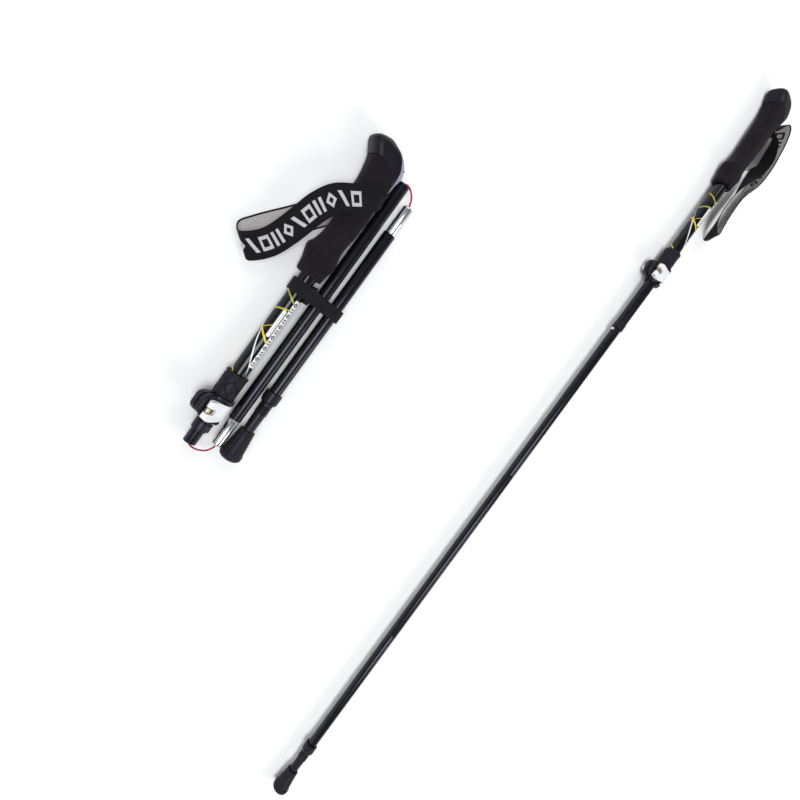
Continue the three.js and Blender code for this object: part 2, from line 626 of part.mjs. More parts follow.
function foldedPole() {
  const pole = new THREE.Group();
  addHandle(pole, "folded", foldedStrapRoute);
  addTelescope(pole, "folded", 0, 0, BUTTON.pressed);
  addSectionB(moved(pole, FOLD_B_X, FOLD_B_Y), "folded");
  addSectionC(moved(pole, FOLD_C_X, FOLD_C_Y, Math.PI), "folded");
  // The elastic cord: inside the tension tube, across to section B, through it, across to C.
  const mouthA = TENSION.low;
  const endB = FOLD_B_X - SECTION_B.ferrule;
  const mouthB = FOLD_B_X + SECTION_B.length;
  const endC = FOLD_C_X + SECTION_C.ferrule;
  const cord = (name, geometry) => place(pole, "folded", name, geometry, red());
  cord("cord_in_tension_tube", straightCord(mouthA + 1.2, SLEEVE.high - 7 - GAP));
  cord("cord_link_ab", cordAlong([
    [mouthA + 0.6, 0, 0], [mouthA - 1.8, -1, 0], [mouthA - 3.9, -6, 0], [mouthA - 3.6, -13, 0],
    [mouthA - 1.2, -19, 0], [mouthA + 3.6, -23.4, 0], [endB - GAP, FOLD_B_Y, 0],
  ], CORD_STEPS));
  cord("cord_in_b", straightCord(endB, mouthB - 0.8).translate(0, FOLD_B_Y, 0));
  cord("cord_link_bc", cordAlong([
    [mouthB + GAP, FOLD_B_Y, 0], [mouthB + 2.2, FOLD_B_Y - 1.4, 0],
    [mouthB + 3, FOLD_B_Y - 5.4, 0], [mouthB + 0.8, FOLD_B_Y - 11, 0],
    [mouthB - 4, FOLD_B_Y - 16, 0], [endC + GAP, FOLD_C_Y, 0],
  ], CORD_STEPS));
  const knotC = FOLD_C_X - SECTION_C.length + KNOT_INSIDE;
  cord("cord_in_c", straightCord(knotC, endC).translate(0, FOLD_C_Y, 0));
  place(pole, "folded", "packing_band", packingBand(), webbing());
  return pole;
}

const drawnMouth = TENSION.low - SLEEVE_DRAWN - TENSION_DRAWN;
const drawnB = drawnMouth - GAP;
const drawnC = drawnB - SECTION_B.length - GAP;

function extendedPole() {
  const pole = new THREE.Group();
  addHandle(pole, "extended", extendedStrapRoute);
  const tensionX = drawnMouth - TENSION.low;
  addTelescope(pole, "extended", -SLEEVE_DRAWN, tensionX, BUTTON.proud);
  addSectionB(moved(pole, drawnB, 0, Math.PI), "extended");
  addSectionC(moved(pole, drawnC, 0, Math.PI), "extended");
  const knot = drawnC - SECTION_C.length + KNOT_INSIDE;
  const cordTop = SLEEVE.high - SLEEVE_DRAWN - 7 - GAP;
  place(pole, "extended", "cord", straightCord(knot, cordTop), red());
  const tail = ribbon(strapTailRoute, STRAP_STEPS.tail, STRAP.thick);
  place(pole, "extended", "strap_tail", tail, webbing());
  return pole;
}

const pair = new THREE.Group();
const folded = foldedPole();
folded.position.set(0, POLE_SPACING / 2, AXIS_HEIGHT);
const extended = extendedPole();
extended.position.set(EXTENDED_AHEAD, -POLE_SPACING / 2, AXIS_HEIGHT);
pair.add(folded, extended);

// The origin is the middle of the pair's box, on the ground.
pair.updateMatrixWorld(true);
const whole = new THREE.Box3().setFromObject(pair, true);
const centre = whole.getCenter(new THREE.Vector3());
for (const pole of [folded, extended]) {
  pole.position.sub(new THREE.Vector3(centre.x, centre.y, whole.min.z));
}

export default pair;
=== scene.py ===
"""A pair of trekking poles lying on a pale floor: one folded up, one drawn out to walking length.

Shapes are written in millimetres in a pole's own frame, as in the CAD: x along the pole with
x = 0 at the foam's lower end, +y towards the beak of the grip, +z away from the floor.
"""

import json
from math import asin, atan2, copysign, cos, exp, hypot, pi, radians, sin, sqrt, tau

import bmesh
import bpy
from mathutils import Matrix, Vector, noise


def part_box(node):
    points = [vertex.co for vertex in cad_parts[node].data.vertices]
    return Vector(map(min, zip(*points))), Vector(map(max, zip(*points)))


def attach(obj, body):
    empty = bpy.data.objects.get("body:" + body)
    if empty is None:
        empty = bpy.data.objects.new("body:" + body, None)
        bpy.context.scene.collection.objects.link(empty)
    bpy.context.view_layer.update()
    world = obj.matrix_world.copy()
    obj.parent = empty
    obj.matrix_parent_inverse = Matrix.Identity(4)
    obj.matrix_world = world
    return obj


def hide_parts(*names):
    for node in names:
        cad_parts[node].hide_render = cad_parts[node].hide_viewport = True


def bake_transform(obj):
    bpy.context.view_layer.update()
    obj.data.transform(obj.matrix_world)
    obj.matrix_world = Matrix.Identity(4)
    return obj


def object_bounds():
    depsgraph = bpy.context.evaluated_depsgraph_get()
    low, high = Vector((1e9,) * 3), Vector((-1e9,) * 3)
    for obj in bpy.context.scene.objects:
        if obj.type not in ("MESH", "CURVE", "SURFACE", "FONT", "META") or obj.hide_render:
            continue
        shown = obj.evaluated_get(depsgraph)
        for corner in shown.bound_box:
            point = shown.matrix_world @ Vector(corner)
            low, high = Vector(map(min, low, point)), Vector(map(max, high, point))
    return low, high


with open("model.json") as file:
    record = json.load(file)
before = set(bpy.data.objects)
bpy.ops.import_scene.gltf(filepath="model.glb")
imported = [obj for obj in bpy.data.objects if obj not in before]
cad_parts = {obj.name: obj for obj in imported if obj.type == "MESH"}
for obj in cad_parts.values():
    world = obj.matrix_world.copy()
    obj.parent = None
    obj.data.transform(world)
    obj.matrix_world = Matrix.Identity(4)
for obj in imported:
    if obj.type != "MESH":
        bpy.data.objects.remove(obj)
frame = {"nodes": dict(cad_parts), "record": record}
cad_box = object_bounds()

MM = 0.001
IDENTITY = Matrix.Identity(4)
FAR = 40.0  # further out than any surface of a pole

# Ends along x, radii inside and outside, and the axes of the folded sections.
UPPER_LOW, UPPER_HIGH = -171.4, 136
SLEEVE_MOUTH, TENSION_MOUTH = -188.1, -207.1
B_LENGTH, C_LENGTH = 299.8, 209.1
UPPER_RADII, SLEEVE_RADII, THIN_RADII = (8.3, 9), (7.3, 8), (6.3, 7)
B_Y, C_Y = -25, -44.2
JOIN_GAP = 0.3  # between two sections of the drawn-out pole
CORD_RADIUS = 0.95
BOLT_X = -164.5
EYE_Y, EYE_Z, EYE_BORE = 17.3, 11.2, 1.7  # the bolt's eye, with the lever's pin through it
WEBBING_HALF = 14.0


# ---- camera, floor and lights
def pole_origin(prefix):
    """The pole's x = 0 on its axis, from its upper tube."""
    low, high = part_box(f"{prefix}_upper_tube")
    return Vector((low.x - UPPER_LOW * MM, (low.y + high.y) / 2, (low.z + high.z) / 2))


def add_camera():
    data = bpy.data.cameras.new("camera")
    data.lens = 22.2
    data.sensor_width = 36.0
    data.clip_start = 0.01
    camera = bpy.data.objects.new("camera", data)
    forward = Vector((-0.015, -0.574, -0.819)).normalized()
    up = Vector((0.808, 0.475, -0.348))
    up = (up - forward * up.dot(forward)).normalized()
    turn = Matrix((forward.cross(up), up, -forward)).transposed().to_4x4()
    place = pole_origin("folded") + Vector((-0.039, 0.165, 0.494))
    camera.matrix_world = Matrix.Translation(place) @ turn
    bpy.context.collection.objects.link(camera)
    bpy.context.scene.camera = camera


def add_sun(name, aim, power, spread, tint=(1, 1, 1)):
    """A broad, even light: spread is its angular width in degrees."""
    data = bpy.data.lights.new(name, "SUN")
    data.energy, data.angle, data.color = power, radians(spread), tint
    lamp = bpy.data.objects.new(name, data)
    lamp.rotation_euler = Vector(aim).to_track_quat("-Z", "Y").to_euler()
    bpy.context.collection.objects.link(lamp)


def add_lights():
    add_sun("softbox_key", (0.18, -0.30, -1.0), 1.9, 34)
    add_sun("softbox_side", (0.25, 0.95, -0.75), 0.55, 24, (0.94, 0.95, 1.0))
    add_sun("softbox_end", (-0.9, -0.5, -0.8), 0.45, 24)
    world = bpy.data.worlds.new("studio")
    world.use_nodes = True
    background = world.node_tree.nodes["Background"]
    background.inputs["Color"].default_value = (0.95, 0.96, 1.0, 1)
    background.inputs["Strength"].default_value = 0.26
    bpy.context.scene.world = world
    bpy.context.scene.view_settings.view_transform = "Standard"


# ---- materials
def operation(how):
    """A method that makes a math node of this kind."""
    return lambda *values: values[0].nodes.math(how, *values)


class Value:
    """A node's output, which can stand in a formula."""

    def __init__(self, nodes, socket):
        self.nodes, self.socket = nodes, socket

    def __rsub__(self, other):
        return self.nodes.math("SUBTRACT", other, self)

    __add__, __sub__, __mul__ = operation("ADD"), operation("SUBTRACT"), operation("MULTIPLY")
    __truediv__, __mod__ = operation("DIVIDE"), operation("MODULO")
    __gt__, __lt__ = operation("GREATER_THAN"), operation("LESS_THAN")
    __abs__, sine = operation("ABSOLUTE"), operation("SINE")


class Nodes:
    """A short way to write a node tree round one Principled shader."""

    def __init__(self, name):
        self.material = bpy.data.materials.new(name)
        self.material.use_nodes = True
        self.tree = self.material.node_tree
        self.shader = self.tree.nodes["Principled BSDF"]

    def set(self, **values):
        for name, value in values.items():
            words = name.replace("_", " ").title().replace("Ior", "IOR")
            self.feed(self.shader.inputs[words], value)

    def feed(self, socket, value):
        if isinstance(value, Value):
            self.tree.links.new(value.socket, socket)
        elif isinstance(value, tuple) and len(value) == 3 and len(socket.default_value) == 4:
            socket.default_value = (*value, 1)
        else:
            socket.default_value = value

    def node(self, kind, inputs, out=0, **settings):
        """A new node with these inputs, by name or number, and one of its outputs."""
        made = self.tree.nodes.new("ShaderNode" + kind)
        for name, value in settings.items():
            setattr(made, name, value)
        for key, value in inputs.items():
            self.feed(made.inputs[key], value)
        return Value(self, made.outputs[out])

    def math(self, how, a, b=0.0, c=0.0):
        return self.node("Math", {0: a, 1: b, 2: c}, operation=how)

    def mix(self, share, a, b):
        return self.node("Mix", {0: share, 6: a, 7: b}, 2, data_type="RGBA")

    def surface(self):
        """(around or across, along, side) in mm, as the mesh builders wrote them."""
        where = self.node("Attribute", {}, "Vector", attribute_name="surf")
        split = self.tree.nodes.new("ShaderNodeSeparateXYZ")
        self.feed(split.inputs[0], where)
        return [Value(self, output) for output in split.outputs]

    def noise(self, scale, detail=3.0, stretch=(1, 1, 1)):
        where = self.node("TexCoord", {}, "Object")
        where = self.node("VectorMath", {0: where, 1: stretch}, operation="MULTIPLY")
        inputs = {"Vector": where, "Scale": scale, "Detail": detail, "Roughness": 0.55}
        return self.node("TexNoise", inputs)

    def drawn_lines(self):
        """Fine lines along a tube, as drawing leaves them."""
        return self.noise(1.0, 3.0, (22.0, 900.0, 900.0))

    def range(self, value, low, high, to_low=0.0, to_high=1.0):
        return self.node("MapRange", dict(enumerate((value, low, high, to_low, to_high))))

    def uneven(self, cloud, to_low=0.0, to_high=1.0):
        """A noise's usual span, made into another one."""
        return self.range(cloud, 0.3, 0.7, to_low, to_high)

    def band(self, value, half, soft=0.12):
        """1 where |value| is under half, with a soft edge."""
        return self.range(abs(value), half + soft, half - soft)

    def any_of(self, *masks):
        total = masks[0]
        for mask in masks[1:]:
            total = self.math("MAXIMUM", total, mask)
        return total

    def tones(self, share, dark, light):
        self.set(base_color=self.mix(share, dark, light))

    def gloss(self, cloud, low, high):
        self.set(roughness=self.uneven(cloud, low, high))

    def bump(self, height, depth, strength, **after):
        inputs = {"Distance": depth, "Strength": strength, "Height": height, **after}
        bent = self.node("Bump", inputs)
        self.feed(self.shader.inputs["Normal"], bent)
        return bent


def moulded(name, dark, light, rough, grain, depth, **more):
    """Plastic or rubber: a faint mottle, uneven gloss and a fine moulded grain."""
    n = Nodes(name)
    n.tones(n.uneven(n.noise(90.0, 4.0)), dark, light)
    n.gloss(n.noise(260.0), *rough)
    n.bump(n.noise(grain, 2.0), depth, 0.6)
    n.set(**more)
    return n.material


def metal(name, dark, light, rough, stretch):
    """Turned or drawn metal, with fine tool lines along the stretched direction."""
    n = Nodes(name)
    lines = n.noise(1.0, 4.0, stretch)
    n.tones(n.uneven(n.noise(120.0)), dark, light)
    n.set(roughness=n.range(lines, 0.25, 0.75, *rough), metallic=1.0)
    n.bump(lines, 0.00001, 0.5)
    return n.material


def foam_material():
    n = Nodes("eva_foam")
    fine = n.noise(2600.0, 2.0)
    pores = n.range(n.noise(1400.0, 4.0), 0.36, 0.5)
    broad = n.uneven(n.noise(38.0))
    base = n.mix(broad, (0.0085, 0.0072, 0.0100), (0.0135, 0.0115, 0.0155))
    base = n.mix(n.range(fine, 0.45, 0.75, 0.0, 0.6), base, (0.024, 0.021, 0.028))
    n.tones(pores, (0.004, 0.0034, 0.0048), base)
    n.gloss(fine, 0.82, 0.97)
    n.bump(pores * 0.5 + broad, 0.0002, 0.35, Normal=n.bump(fine, 0.00016, 0.7))
    n.set(sheen_weight=0.04, sheen_roughness=0.5, specular_ior_level=0.12)
    return n.material


def tube_material():
    n = Nodes("anodised_black")
    drawn = n.drawn_lines()
    n.tones(n.uneven(n.noise(30.0)), (0.0022, 0.0022, 0.0034), (0.0040, 0.0040, 0.0058))
    n.gloss(drawn, 0.20, 0.25)
    n.bump(drawn, 0.000002, 0.2)
    n.set(coat_weight=0.06, coat_roughness=0.08)
    n.set(specular_ior_level=0.34, specular_tint=(0.82, 0.80, 1.0))
    return n.material


def print_material():
    """Gloss black tube with a white sweep, yellow and olive lines and a strip of plain blocks."""
    n = Nodes("printed_tube")
    around, along, _side = n.surface()

    def line(x0, s0, x1, s1, half):
        """A straight printed line between two (along, around) points."""
        slope = (s1 - s0) / (x1 - x0)
        lean = hypot(1.0, slope)
        across = around - ((along - x0) * slope + s0)
        span = n.band(along - (x0 + x1) / 2, abs(x1 - x0) / 2, 0.08)
        return n.band(across, half * lean, 0.10 * lean) * span

    # The white sweep bends a little and thins out towards both ends.
    bend = (n.range(along, -121.0, -50.0) * pi).sine()
    centre = n.range(along, -121.0, -50.0, -9.6, 15.0) + bend
    width = (n.range(along, -124.0, -47.0) * pi).sine() * 0.78
    white = n.range(abs(around - centre) - width, 0.12, -0.12) * n.band(along + 85.5, 36.0)

    yellow = n.any_of(line(-79.6, -5.1, -62.8, 15.5, 0.95), line(-121.5, 6.2, -108.0, 22.0, 0.75))
    olive = n.any_of(
        line(-71.5, 14.0, -56.6, -4.8, 0.5), line(-46.5, 16.5, -39.2, -4.8, 0.95),
        line(-31.4, -4.8, -19.0, 15.5, 0.8), line(-108.0, 22.0, -97.0, 14.0, 0.6),
        line(-97.0, 14.0, -84.0, 26.0, 0.6),
    )
    # A plain capsule with a row of fine ticks.
    beyond = n.math("MAXIMUM", abs(along + 57.4) - 14.1, 0.0)
    off_line = around + 1.9
    capsule = n.range(n.math("SQRT", beyond * beyond + off_line * off_line), 1.95, 1.75)
    ticks = n.range(n.math("PINGPONG", along, 0.8), 0.45, 0.55)
    ticks = ticks * n.band(off_line, 0.75) * n.band(along + 57.4, 12.6)

    # The pale strip with a row of dark diamonds and bars, one in each cell.
    pitch, shift = 6.6, 200.0
    strip = n.band(around + 9.6, 4.9) * n.band(along + 68.0, 41.0, 0.2)
    off_row = around + 7.6
    cell = (along + shift) % pitch - pitch / 2
    odd = (along + shift) % (2 * pitch) > pitch
    rhomb = abs(cell) + abs(off_row)
    diamonds = n.range(rhomb, 2.8, 2.6) * n.range(rhomb, 0.9, 1.1) * odd
    bars = n.band(off_row, 2.0) * n.band(abs(cell) - 1.35, 0.6) * (1.0 - odd)
    blocks = strip * n.any_of(diamonds, bars)

    base = n.mix(n.uneven(n.noise(30.0)), (0.0018, 0.0018, 0.0024), (0.0034, 0.0034, 0.0042))
    for mask, ink in (
        (strip, (0.80, 0.81, 0.83)), (blocks, (0.012, 0.012, 0.014)),
        (olive, (0.42, 0.39, 0.035)), (white, (0.86, 0.87, 0.89)),
        (yellow, (0.80, 0.60, 0.02)), (capsule, (0.84, 0.85, 0.87)),
        (capsule * ticks, (0.30, 0.30, 0.32)),
    ):
        base = n.mix(mask, base, ink)
    n.set(base_color=base)
    printed = n.any_of(strip, olive, white, yellow, capsule)
    n.set(roughness=n.uneven(n.drawn_lines(), 0.11, 0.14) + printed * 0.10)
    n.bump(printed, 0.00003, 0.6)
    n.set(coat_weight=0.15, coat_roughness=0.05, specular_ior_level=0.30)
    return n.material


def webbing_material():
    """Flat woven webbing: black with white woven figures outside, grey with black edges inside."""
    n = Nodes("strap_webbing")
    across, along, side = n.surface()
    weave = (along * (tau / 0.9)).sine() * (across * (tau / 0.75)).sine()
    thread = n.noise(1500.0, 2.0)
    tone = n.range(weave * 0.35 + thread, 0.1, 0.95)
    black = n.mix(tone, (0.0035, 0.0031, 0.0042), (0.0125, 0.0115, 0.0145))
    white = n.mix(tone, (0.40, 0.39, 0.42), (0.72, 0.71, 0.75))
    grey_tone = n.range(weave * 0.4 + n.noise(900.0), 0.1, 0.9)
    grey = n.mix(grey_tone, (0.28, 0.27, 0.265), (0.66, 0.64, 0.62))

    # Four figures in turn: hollow square, slanted bar, hollow rhomb, pair of bars.
    pitch = 12.5
    kind = n.math("FLOOR", along / pitch) % 4.0
    u = along % pitch - pitch / 2
    square = n.math("MAXIMUM", abs(u * 1.35), abs(across))
    rhomb = abs(u * 1.3) + abs(across)
    tall = n.band(across, 7.0)
    figures = (
        n.range(square, 7.1, 6.8) * n.range(square, 3.6, 3.9),
        n.band(u - across * 0.42, 1.9) * tall,
        n.range(rhomb, 7.3, 7.0) * n.range(rhomb, 3.0, 3.3),
        n.band(abs(u) - 2.9, 1.5) * tall,
    )
    figure = n.any_of(*(
        mask * n.math("COMPARE", kind, float(k), 0.25) for k, mask in enumerate(figures)
    ))
    ragged = n.range(figure + (thread - 0.5) * 0.5, 0.40, 0.60)
    figure = ragged * ((along > 0.0) * (along < 13 * pitch))

    edge = n.range(abs(across), 12.1, 12.5)
    grey = n.mix(n.any_of(edge, figure * (side > 1.5)), grey, black)
    n.tones(side, n.mix(figure, black, white), grey)
    n.gloss(thread, 0.72, 0.92)
    n.bump(weave * 0.5 + thread, 0.00022, 0.8)
    n.set(sheen_weight=0.05, sheen_roughness=0.4, specular_ior_level=0.15)
    return n.material


def band_material():
    n = Nodes("ribbed_elastic")
    across, along, _side = n.surface()
    thread = n.noise(1600.0, 2.0)
    height = (across * (tau / 1.1)).sine() * 0.5 + (along * (tau / 0.8)).sine() * 0.25
    tone = n.range(height * 0.4 + thread, 0.1, 0.9)
    n.tones(tone, (0.0050, 0.0045, 0.0060), (0.0190, 0.0172, 0.0215))
    n.gloss(thread, 0.75, 0.95)
    n.bump(height + thread * 0.4, 0.00022, 0.8)
    n.set(sheen_weight=0.05, sheen_roughness=0.4, specular_ior_level=0.15)
    return n.material


def cord_material():
    """Crimson braid with a darker strand, wound both ways round the cord."""
    n = Nodes("braided_cord")
    around, along, _side = n.surface()
    turn = tau / 5.97  # per mm of the cord's girth
    strands, lay = around * (4 * turn), along * 3.1
    braid = n.math("MAXIMUM", (strands + lay).sine(), (strands - lay).sine())
    thread = n.noise(2200.0, 2.0)
    dark = (around * turn + along * 0.78).sine() > 0.72
    base = n.mix(n.range(braid, -0.2, 1.0), (0.20, 0.006, 0.03), (0.60, 0.025, 0.10))
    base = n.mix(n.range(thread, 0.4, 0.75, 0.0, 0.5), base, (0.78, 0.10, 0.18))
    n.tones(dark * 0.75, base, (0.03, 0.008, 0.02))
    n.gloss(thread, 0.6, 0.85)
    n.bump(braid + thread * 0.5, 0.00012, 0.8)
    n.set(sheen_weight=0.2, sheen_roughness=0.4)
    return n.material


def floor_material():
    n = Nodes("studio_floor")
    n.tones(n.uneven(n.noise(0.9)), (0.945, 0.948, 0.952), (0.965, 0.966, 0.968))
    n.gloss(n.noise(40.0, 2.0), 0.80, 0.92)
    n.set(specular_ior_level=0.15)
    return n.material


VIOLET = {"specular_tint": (0.86, 0.82, 1.0)}  # the gloss of the pole's black plastics
MATERIALS = {
    "grip_foam": foam_material(), "webbing": webbing_material(), "tube_black": tube_material(),
    "upper_tube_print": print_material(), "cord_red": cord_material(),
    "band_elastic": band_material(),
}
for made_by, slot, *look, more in (
    (moulded, "head_black", "satin_black", (0.0050, 0.0045, 0.0062), (0.0085, 0.0078, 0.0105),
     (0.36, 0.48), 1800.0, 0.00004, {"specular_ior_level": 0.26, **VIOLET}),
    (moulded, "insert_grey", "lavender_grey", (0.28, 0.27, 0.36), (0.34, 0.33, 0.42),
     (0.42, 0.54), 1800.0, 0.00003, {"specular_ior_level": 0.45}),
    (moulded, "pin_dark", "pin_black", (0.008, 0.008, 0.010), (0.014, 0.014, 0.017),
     (0.30, 0.42), 2200.0, 0.00003, {}),
    (moulded, "clamp_black", "clamp_black", (0.0046, 0.0043, 0.0066), (0.0082, 0.0078, 0.0110),
     (0.32, 0.42), 1500.0, 0.00003, {"specular_ior_level": 0.30, **VIOLET}),
    (moulded, "rubber_black", "rubber_black", (0.0060, 0.0056, 0.0078),
     (0.0105, 0.0098, 0.0130), (0.46, 0.60), 1200.0, 0.00006,
     {"specular_ior_level": 0.26, **VIOLET}),
    (moulded, "lever_white", "lever_white", (0.78, 0.785, 0.80), (0.86, 0.86, 0.87),
     (0.28, 0.38), 900.0, 0.00003, {"coat_weight": 0.15, "coat_roughness": 0.2}),
    (metal, "bolt_bronze", "bronze_tinted", (0.36, 0.27, 0.19), (0.50, 0.40, 0.29),
     (0.24, 0.38), (2500.0, 60.0, 60.0), {}),
    (metal, "nut_chrome", "nickel_plate", (0.62, 0.62, 0.64), (0.80, 0.80, 0.82),
     (0.10, 0.20), (600.0, 600.0, 600.0), {}),
    (metal, "ferrule_aluminium", "polished_aluminium", (0.66, 0.66, 0.69), (0.78, 0.78, 0.80),
     (0.14, 0.24), (3200.0, 40.0, 40.0), {}),
    (metal, "spring_steel", "spring_steel", (0.50, 0.50, 0.52), (0.62, 0.62, 0.64),
     (0.2, 0.34), (60.0, 2200.0, 60.0), {}),
    (metal, "carbide_steel", "carbide", (0.36, 0.36, 0.38), (0.50, 0.50, 0.52),
     (0.28, 0.44), (1400.0, 1400.0, 1400.0), {}),
):
    MATERIALS[slot] = made_by(*look, **more)


# ---- meshes
def mesh_object(name, points, faces, surf, place, origin):
    """points in the pole's millimetres; surf gives (around, along, side) for each face corner."""
    mesh = bpy.data.meshes.new(name)
    mesh.from_pydata([origin + (place @ Vector(p)) * MM for p in points], [], faces)
    if surf is not None:
        layer = mesh.attributes.new("surf", "FLOAT_VECTOR", "CORNER")
        flat = [value for face in surf for corner in face for value in corner]
        layer.data.foreach_set("vector", flat)
    mesh.validate()
    obj = bpy.data.objects.new(name, mesh)
    bpy.context.collection.objects.link(obj)
    smooth(obj)
    return obj


def smooth(obj, angle=38.0):
    mesh = obj.data
    mesh.polygons.foreach_set("use_smooth", [True] * len(mesh.polygons))
    mesh.set_sharp_from_angle(angle=radians(angle))
    mesh.update()


def outward(obj):
    """Joins doubled points and turns all faces to face out."""
    bm = bmesh.new()
    bm.from_mesh(obj.data)
    bmesh.ops.remove_doubles(bm, verts=bm.verts, dist=1e-7)
    bmesh.ops.dissolve_degenerate(bm, dist=1e-8, edges=bm.edges)
    bmesh.ops.recalc_face_normals(bm, faces=bm.faces)
    bm.to_mesh(obj.data)
    bm.free()
    smooth(obj)
    return obj


def grid(rows, closed=False, surf=None):
    """Points, faces and corner values over rows of rings; surf(i, k) is for row i, place k."""
    count = len(rows[0])
    faces, values = [], []
    for i in range(len(rows) if closed else len(rows) - 1):
        j = (i + 1) % len(rows)
        for k in range(count):
            m = (k + 1) % count
            faces.append((i * count + k, i * count + m, j * count + m, j * count + k))
            if surf:
                values.append([surf(i, k), surf(i, k + 1), surf(i + 1, k + 1), surf(i + 1, k)])
    return [p for row in rows for p in row], faces, values


def fillet(points, radius, steps=3, closed=True):
    """Rounds the corners of an outline, by at most 0.45 of the shorter side at each."""
    out = []
    count = len(points)
    for i, p in enumerate(points):
        a, b, c = Vector(points[i - 1]), Vector(p), Vector(points[(i + 1) % count])
        cut = min(radius, 0.45 * (a - b).length, 0.45 * (c - b).length)
        if cut < 1e-4 or (not closed and i in (0, count - 1)):
            out.append(tuple(p))
            continue
        start, end = b + (a - b).normalized() * cut, b + (c - b).normalized() * cut
        for k in range(steps + 1):
            t = k / steps
            q = start * (1 - t) ** 2 + b * 2 * t * (1 - t) + end * t ** 2
            out.append((q.x, q.y))
    return out


def applied(obj):
    """Bakes the object's modifiers into its mesh."""
    graph = bpy.context.evaluated_depsgraph_get()
    mesh = bpy.data.meshes.new_from_object(obj.evaluated_get(graph))
    obj.modifiers.clear()
    obj.data = mesh


def carve(obj, how, *tools):
    for tool in tools:
        step = obj.modifiers.new("carve", "BOOLEAN")
        step.operation, step.object, step.solver = how, tool, "EXACT"
        applied(obj)
        bpy.data.objects.remove(tool)
    return obj


def eased(obj, width, segments, angle):
    """Rounds the edges that are sharper than the angle."""
    step = obj.modifiers.new("ease", "BEVEL")
    step.width, step.segments = width * MM, segments
    step.limit_method, step.angle_limit = "ANGLE", radians(angle)
    step.use_clamp_overlap = True
    applied(obj)
    smooth(obj, 50.0)


def circle(sides):
    """Evenly spaced angles."""
    return [tau * k / sides for k in range(sides)]


def shifted(x, points):
    """Profile points counted along the pole from x."""
    return [(x + step, radius) for step, radius in points]


def clamped(value):
    return min(max(value, 0), 1)


def hermite(a, from_slope, b, to_slope, t):
    """The cubic from a to b with these slopes, for t from 0 to 1."""
    return (
        a * (2 * t ** 3 - 3 * t ** 2 + 1) + from_slope * (t ** 3 - 2 * t ** 2 + t)
        + b * (3 * t ** 2 - 2 * t ** 3) + to_slope * (t ** 3 - t ** 2)
    )


def through(points):
    """A smooth function through [x, value] points, as in the CAD."""
    slopes = []
    for i in range(len(points)):
        before, after = points[max(i - 1, 0)], points[min(i + 1, len(points) - 1)]
        slopes.append((after[1] - before[1]) / (after[0] - before[0]))

    def value(x):
        i = next((k for k, p in enumerate(points) if p[0] > x), len(points)) - 1
        i = min(max(i, 0), len(points) - 2)
        (x0, y0), (x1, y1) = points[i], points[i + 1]
        step = x1 - x0
        return hermite(y0, step * slopes[i], y1, step * slopes[i + 1], clamped((x - x0) / step))

    return value


def curve_outline(points, each=4):
    """A closed outline whose corners under about 40 degrees are drawn as one smooth line."""
    out = []
    count = len(points)

    def bends(p, q, r):
        return (q - p).angle(r - q) > radians(42)

    for i in range(count):
        a, b, c, d = (Vector(points[(i + k) % count]) for k in (-1, 0, 1, 2))
        start = (c - b) if bends(a, b, c) else (c - a) / 2
        end = (c - b) if bends(b, c, d) else (d - b) / 2
        out += [tuple(hermite(b, start, c, end, k / each)) for k in range(each)]
    return out


def curve_points(points, count):
    """Points along a centripetal Catmull-Rom curve, evenly spaced in its parameter."""
    p = [Vector(q) for q in points]
    p = [p[0] * 2 - p[1]] + p + [p[-1] * 2 - p[-2]]
    out = []
    for n in range(count + 1):
        u = n / count * (len(p) - 3)
        i = min(int(u), len(p) - 4)
        t = u - i
        a, b, c, d = p[i : i + 4]
        d0, d1, d2 = (max((s - e).length ** 0.5, 1e-4) for s, e in ((b, a), (c, b), (d, c)))
        m1 = ((b - a) / d0 - (c - a) / (d0 + d1) + (c - b) / d1) * d1
        m2 = ((c - b) / d1 - (d - b) / (d1 + d2) + (d - c) / d2) * d1
        out.append(
            b + m1 * t + (c * 3 - b * 3 - m1 * 2 - m2) * t ** 2
            + (b * 2 - c * 2 + m1 + m2) * t ** 3
        )
    return out


def distances(points):
    """How far along the line each point is."""
    walked = [0.0]
    for a, b in zip(points, points[1:]):
        walked.append(walked[-1] + (b - a).length)
    return walked


